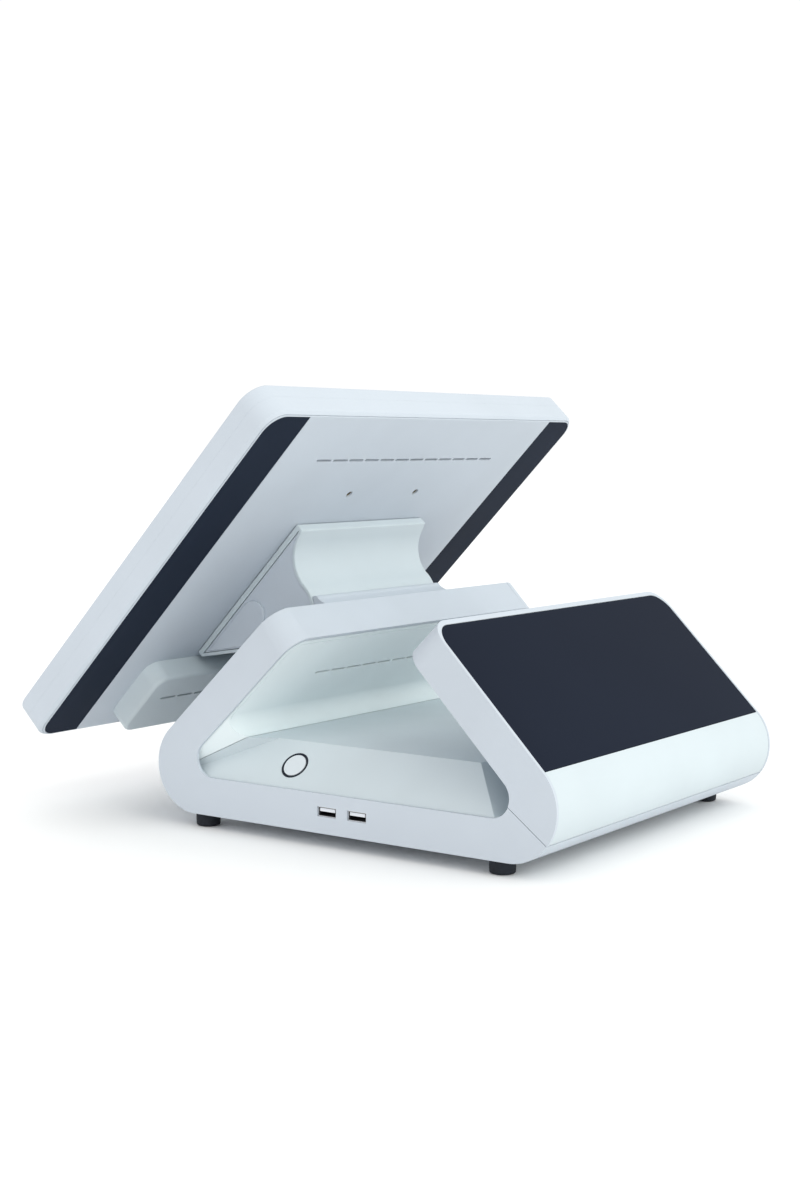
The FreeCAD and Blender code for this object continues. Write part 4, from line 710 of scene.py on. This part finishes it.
# ------------------------------------------------------------ tilt hinge, fixed
PVY, PVZ = -97.8556, 133.3193
PA = ((PVY + YC) * math.cos(AL) + (PVZ - ZB) * math.sin(AL), -(PVY + YC) * math.sin(AL) + (PVZ - ZB) * math.cos(AL))
RC, RB = 23.4, 23.0
lp, lw = polar(PA, RC, -18), polar(PA, RC, -106)
me = prism(path([
    ("L", (193.0, 0.0), (193.0, 0.9)),
    ("A", (193.0, 0.9), (184.6, 5.4), (179.6, 14.6)),
    ("A", (179.6, 14.6), (178.9, 17.6), lp),
    ("A", lp, polar(PA, RC, -62), lw),
    ("L", lw, (lw[0] - 1.4, lw[1] - 0.2)),
    ("L", (lw[0] - 1.4, lw[1] - 0.2), (144.2, 0.0)),
    ("L", (144.2, 0.0), (193.0, 0.0))], 3.0), -69.5, 69.5, "YZ", AT_ARM)
me = round_edges(me, 0.5, 2, 25.0, lambda e: e.is_convex)
me = cut(me, prism(rect(-58.0, 140.0, 58.0, 167.0, 1.0), -2, 12, "XY", AT_ARM))
piece("hinge_cradle", me, "white_shell", "base", ["hinge_saddle"], rounding=0)

# ----------------------------------------------------------- tilt hinge, moving
PV = (2.5, -33.5)
cc = (49.4, 31.5)
rcc = math.hypot(cc[0] - 2.5, cc[1] - 33.5) - RB
tan_a = math.degrees(math.atan2(cc[1] - 33.5, cc[0] - 2.5))
B_END = 33.0
low_tip = (-75.0, 4.8)
vx, vy = 2.5 - low_tip[0], 33.5 - low_tip[1]
LA = math.degrees(math.atan2(vy, vx) + math.asin(RB / math.hypot(vx, vy)))


def on_b(r, a):
    return (PV[0] + r * math.cos(math.radians(a)), PV[1] - r * math.sin(math.radians(a)))


def on_h(r, a):
    return (cc[0] + r * math.cos(math.radians(a)), -(cc[1] + r * math.sin(math.radians(a))))


def shell(off):
    a_h0 = 252.0
    top1 = on_h(rcc + off, a_h0)
    sd = (-math.sin(math.radians(a_h0)), math.cos(math.radians(a_h0)))
    ll = (49.5 - off - top1[0]) / sd[0]
    lip = (49.5 - off, top1[1] - sd[1] * ll)
    nd = (-math.sin(math.radians(LA)), math.cos(math.radians(LA)))
    tx = low_tip[0] + off
    dl = (tx - (low_tip[0] - nd[0] * off)) / math.cos(math.radians(LA))
    tip_b = (low_tip[1] - nd[1] * off) + dl * math.sin(math.radians(LA))
    return lip, top1, on_h(rcc + off, (a_h0 + 180 + tan_a) / 2), on_b(RB - off, tan_a), on_b(RB - off, (tan_a + B_END) / 2), on_b(RB - off, B_END), on_b(RB - off, 90 + LA), (tx, -tip_b)


lipO, topO, hO, tO, bO, eO, aO, tipO = shell(0.0)
lipI, topI, hI, tI, bI, eI, aI, tipI = shell(2.2)
me = prism(path([("L", (lipO[0], -0.4), lipO), ("L", lipO, topO), ("A", topO, hO, tO), ("A", tO, bO, eO), ("L", eO, aO), ("L", aO, tipO),
                 ("L", tipO, (low_tip[0], -0.4)), ("L", (low_tip[0], -0.4), (lipO[0], -0.4))], 3.0), -70.0, 70.0, "YZ", AT_HEAD)
me = round_edges(me, 0.9, 3, 25.0, lambda e: e.is_convex)


def beyond(p, q, d):
    u = Vector((p[0] - q[0], p[1] - q[1])).normalized() * d
    return (q[0] + u.x, q[1] + u.y)


eX, aX = beyond(eO, eI, 12), beyond(aO, aI, 12)
inner = prism(path([("L", (lipI[0], 3.0), lipI), ("L", lipI, topI), ("A", topI, hI, tI), ("A", tI, bI, eI), ("L", eI, eX), ("L", eX, aX), ("L", aX, aI), ("L", aI, tipI),
                    ("L", tipI, (tipI[0], 3.0)), ("L", (tipI[0], 3.0), (lipI[0], 3.0))], 3.0), -66.0, 66.0, "YZ", AT_HEAD)
me = cut(me, inner)
zf = -4.1
if abs(lipI[1]) < abs(zf) and meet(lipI, topI, (0, zf), (1, zf))[0] <= lipI[0]:
    s0 = meet(lipI, topI, (0, zf), (1, zf))
    start = [("L", s0, topI)]
else:
    s0 = (lipI[0], zf)
    start = [("L", s0, lipI), ("L", lipI, topI)]
if tipI[1] < zf:
    fin_ = [("L", aI, tipI), ("L", tipI, (tipI[0], zf)), ("L", (tipI[0], zf), s0)]
else:
    t0 = meet(aI, tipI, (0, zf), (1, zf))
    fin_ = [("L", aI, t0), ("L", t0, s0)]
me = cut(me, prism(path(start + [("A", topI, hI, tI), ("A", tI, bI, eI), ("L", eI, eX), ("L", eX, aX), ("L", aX, aI)] + fin_, 3.0), -100.0, 100.0, "YZ", AT_HEAD))
piece("hinge_cover", me, "white_cover", "head", ["hinge_head_cover"], rounding=0)

lipP, topP, hP, tP, bP, eP, aP, tipP = shell(2.55)
zp = -4.6
for side, x0, x1, c0, c1 in (("right", 66.4, 69.6, 69.6, 71.4), ("left", -69.6, -66.4, -71.4, -69.6)):
    low_mid = on_b(RB - 2.55, (B_END + 90 + LA) / 2)
    tq = meet(aP, tipP, (0, zp), (1, zp)) if tipP[1] > zp else None
    seg = [("L", (lipP[0], zp), lipP), ("L", lipP, topP)] if lipP[1] < zp else [("L", meet(lipP, topP, (0, zp), (1, zp)), topP)]
    first = seg[0][1]
    seg += [("A", topP, hP, tP), ("A", tP, bP, eP), ("A", eP, low_mid, aP)]
    seg += [("L", aP, tipP), ("L", tipP, (tipP[0], zp)), ("L", (tipP[0], zp), first)] if tq is None else [("L", aP, tq), ("L", tq, first)]
    piece("hinge_side_" + side, prism(path(seg, 3.0), x0, x1, "YZ", AT_HEAD), "white_shell", "head", ["hinge_side_panel_" + side], rounding=0.3, segments=2)
    cr, cy_, cb = 9.8, -20.5, 16.6
    nd = (-math.sin(math.radians(LA)), math.cos(math.radians(LA)))
    q1 = (low_tip[0] - nd[0] * 3.3, low_tip[1] - nd[1] * 3.3)
    dl = (math.cos(math.radians(LA)), math.sin(math.radians(LA)))
    n_lo, n_hi = cb - cr, cb + cr
    pA = (q1[0] + dl[0] * (n_lo - q1[1]) / dl[1], n_lo)
    pB = (q1[0] + dl[0] * (n_hi - q1[1]) / dl[1], n_hi)
    hv = lambda up, bk: (up, -bk)
    me = prism(path([("L", hv(*pA), hv(cy_, n_lo)), ("A", hv(cy_, n_lo), hv(cy_ + cr, cb), hv(cy_, n_hi)), ("L", hv(cy_, n_hi), hv(*pB)), ("L", hv(*pB), hv(*pA))], 4.0), c0, c1, "YZ", AT_HEAD)
    outer = c1 if side == "right" else c0
    me = round_edges(me, 0.9, 5, 25.0, lambda e: all(abs(v.co.x - outer) < 0.01 for v in e.verts))
    piece("hinge_cap_" + side, me, "white_shell", "head", ["hinge_side_cap_" + side], rounding=0)

# ----------------------------------------------------------------- display head
HW, HH, HT = 174.8, 146.4, 24.0
FS = 14.0                                    # depth of the rear cover's wall
VP, VH = 37.5, 75.5
BS = [(x, y) for x in (-37.5, 37.5) for y in (0.5, -50.0)]
me = prism(rect(-HW, -HH, HW, HH, 15.0, 3.0), 0.0, FS, "XY")
me = round_edges(me, 2.6, 1, 60.0, lambda e: all(abs(v.co.z) < 0.01 for v in e.verts))
me = round_edges(me, 0.55, 2, 25.0, lambda e: all(v.co.z < 3.5 for v in e.verts))
me.transform(AT_HEAD)
me = cut(me, prism(rect(-HW + 2.4, -HH + 2.4, HW - 2.4, HH - 2.4, 12.6), 2.6, FS + 4, "XY", AT_HEAD))
SO, SW, SH = 171.8, 34.2, 143.4
me = cut(me, join([prism(loop([(g * (SO - SW), -SH), (g * SO, -SH, 13.0), (g * SO, SH, 13.0), (g * (SO - SW), SH)]), -2.0, 1.0, "XY", AT_HEAD) for g in (1, -1)]))
me = cut(me, slots(12, 106.7, -2, 4, AT_HEAD))
rim = cut(prism(rect(-HW + 1.95, -HH + 1.95, HW - 1.95, HH - 1.95, 13.05, 3.0), -1.0, 1.3, "XY", AT_HEAD), prism(rect(-HW + 2.35, -HH + 2.35, HW - 2.35, HH - 2.35, 12.65, 3.0), -2.0, 2.0, "XY", AT_HEAD))
me = cut(me, rim)
me = cut(me, join([prism(circle(x, y, 2.6, 36), -1, 5, "XY", AT_HEAD) for x, y in [(-VP, VH), (VP, VH)] + BS] + [prism(rect(-96.0, -128.0, 96.0, -107.0, 2.0), -1, 5, "XY", AT_HEAD)]))
piece("display_back", me, "white_shell", "head", ["display_rear_cover"], rounding=0)
for side, g in (("right", 1), ("left", -1)):
    me = prism(loop([(g * (SO - SW + 0.15), -SH + 0.15), (g * (SO - 0.15), -SH + 0.15, 12.85), (g * (SO - 0.15), SH - 0.15, 12.85), (g * (SO - SW + 0.15), SH - 0.15)]), 0.05, 0.95, "XY", AT_HEAD)
    piece("back_strip_" + side, me, "dark_strip", "head", ["side_strip_" + side], rounding=0.15, segments=1)
me = prism(rect(-HW, -HH, HW, HH, 15.0, 3.0), FS + 0.04, HT, "XY")
me = round_edges(me, 1.2, 4, 60.0, lambda e: all(abs(v.co.z - HT) < 0.01 for v in e.verts))
me.transform(AT_HEAD)
me = cut(me, prism(rect(-HW + 3.8, -HH + 3.8, HW - 3.8, HH - 3.8, 11.2, 4.0), HT - 3.1, HT + 2, "XY", AT_HEAD),
         prism(rect(-HW + 8.0, -HH + 8.0, HW - 8.0, HH - 8.0, 7.0), 0, HT + 2, "XY", AT_HEAD))
piece("display_bezel", me, "white_shell", "head", ["display_front_frame"], rounding=0)
me = prism(rect(-HW + 4.0, -HH + 4.0, HW - 4.0, HH - 4.0, 11.0, 4.0), HT - 3.05, HT - 0.05, "XY", AT_HEAD)
piece("display_touch_glass", me, SCREEN, "head", ["touch_glass"], rounding=0.35, segments=2)

# --------------------------------------------------------------- connector box
BW, BD, BT, BB = 114.3, 15.5, -79.7, -133.9
me = prism(rect(-BW, BB, BW, BT, 10.0, 5.0), -BD, -0.02, "XY")
me = round_edges(me, 2.4, 5, 60.0, lambda e: all(abs(v.co.z + BD) < 0.01 for v in e.verts))
me.transform(AT_HEAD)
me = cut(me, prism(rect(-BW + 2.2, BB + 2.2, BW - 2.2, BT - 2.2, 7.8), -BD + 2.2, 0.5, "XY", AT_HEAD))
me = cut(me, slots(12, -101.0, -BD - 1, -BD + 4, AT_HEAD))
me = cut(me, join([prism(circle(-66.0, -8.0, 4.6, 40), BB - 1, BB + 4, "XZ", AT_HEAD), prism(rect(-42.2, -12.2, -25.8, -1.5, 0.3), BB - 1, BB + 4, "XZ", AT_HEAD)]))
piece("port_box", me, "white_cover", "head", ["connector_box"], rounding=0)


# ------------------------------------------------------------- floor and light
def quad(name, pts, mat):
    me = bpy.data.meshes.new(name)
    me.from_pydata(pts, [], [list(range(len(pts)))])
    o = bpy.data.objects.new(name, me)
    SC.collection.objects.link(o)
    me.materials.append(mat)
    return o


kf = Tree("studio_floor")
kf.link(kf.ramp(kf.noise(0.8, 2.0), rgb(252, 252, 252), rgb(255, 255, 255)), kf.b.inputs["Base Color"])
kf.set("Roughness", 0.85)
kf.set("Specular IOR Level", 0.15)
floor = quad("studio_floor", [(-8, -8, -0.0002), (8, -8, -0.0002), (8, 8, -0.0002), (-8, 8, -0.0002)], kf.m)


world = bpy.data.worlds.new("studio")
SC.world = world
world.use_nodes = True
wn = world.node_tree
bg = wn.nodes["Background"]
bg.inputs["Color"].default_value = (1.0, 1.0, 1.0, 1)
bg.inputs["Strength"].default_value = 1.03
sky = bpy.data.lights.new("key_soft", "SUN")
sky.angle = math.radians(60.0)
sky.energy = 1.05
sky.color = (0.96, 1.0, 0.93)
so = bpy.data.objects.new("key_soft", sky)
SC.collection.objects.link(so)
so.rotation_euler = Vector((0.0, math.cos(math.radians(32.0)), math.sin(math.radians(32.0)))).to_track_quat("Z", "Y").to_euler()

# -------------------------------------------------------------------- camera
cam = bpy.data.cameras.new("camera")
cam.lens = 53.85
cam.sensor_width = 36.0
cam.clip_end = 50.0
co = bpy.data.objects.new("camera", cam)
SC.collection.objects.link(co)
YAW, ELEV, ROLL = math.radians(125.55), math.radians(4.95), math.radians(0.06)
back = Vector((math.sin(YAW) * math.cos(ELEV), -math.cos(YAW) * math.cos(ELEV), math.sin(ELEV)))
right = Vector((0, 0, 1)).cross(back).normalized()
up = back.cross(right)
m = Matrix((right, up, back)).transposed()
m = m @ Matrix.Rotation(ROLL, 3, "Z")
co.matrix_world = Matrix.Translation((0.9765, 0.6410, 0.2415)) @ m.to_4x4()
SC.camera = co
SC.view_settings.view_transform = "Standard"
SC.view_settings.look = "None"
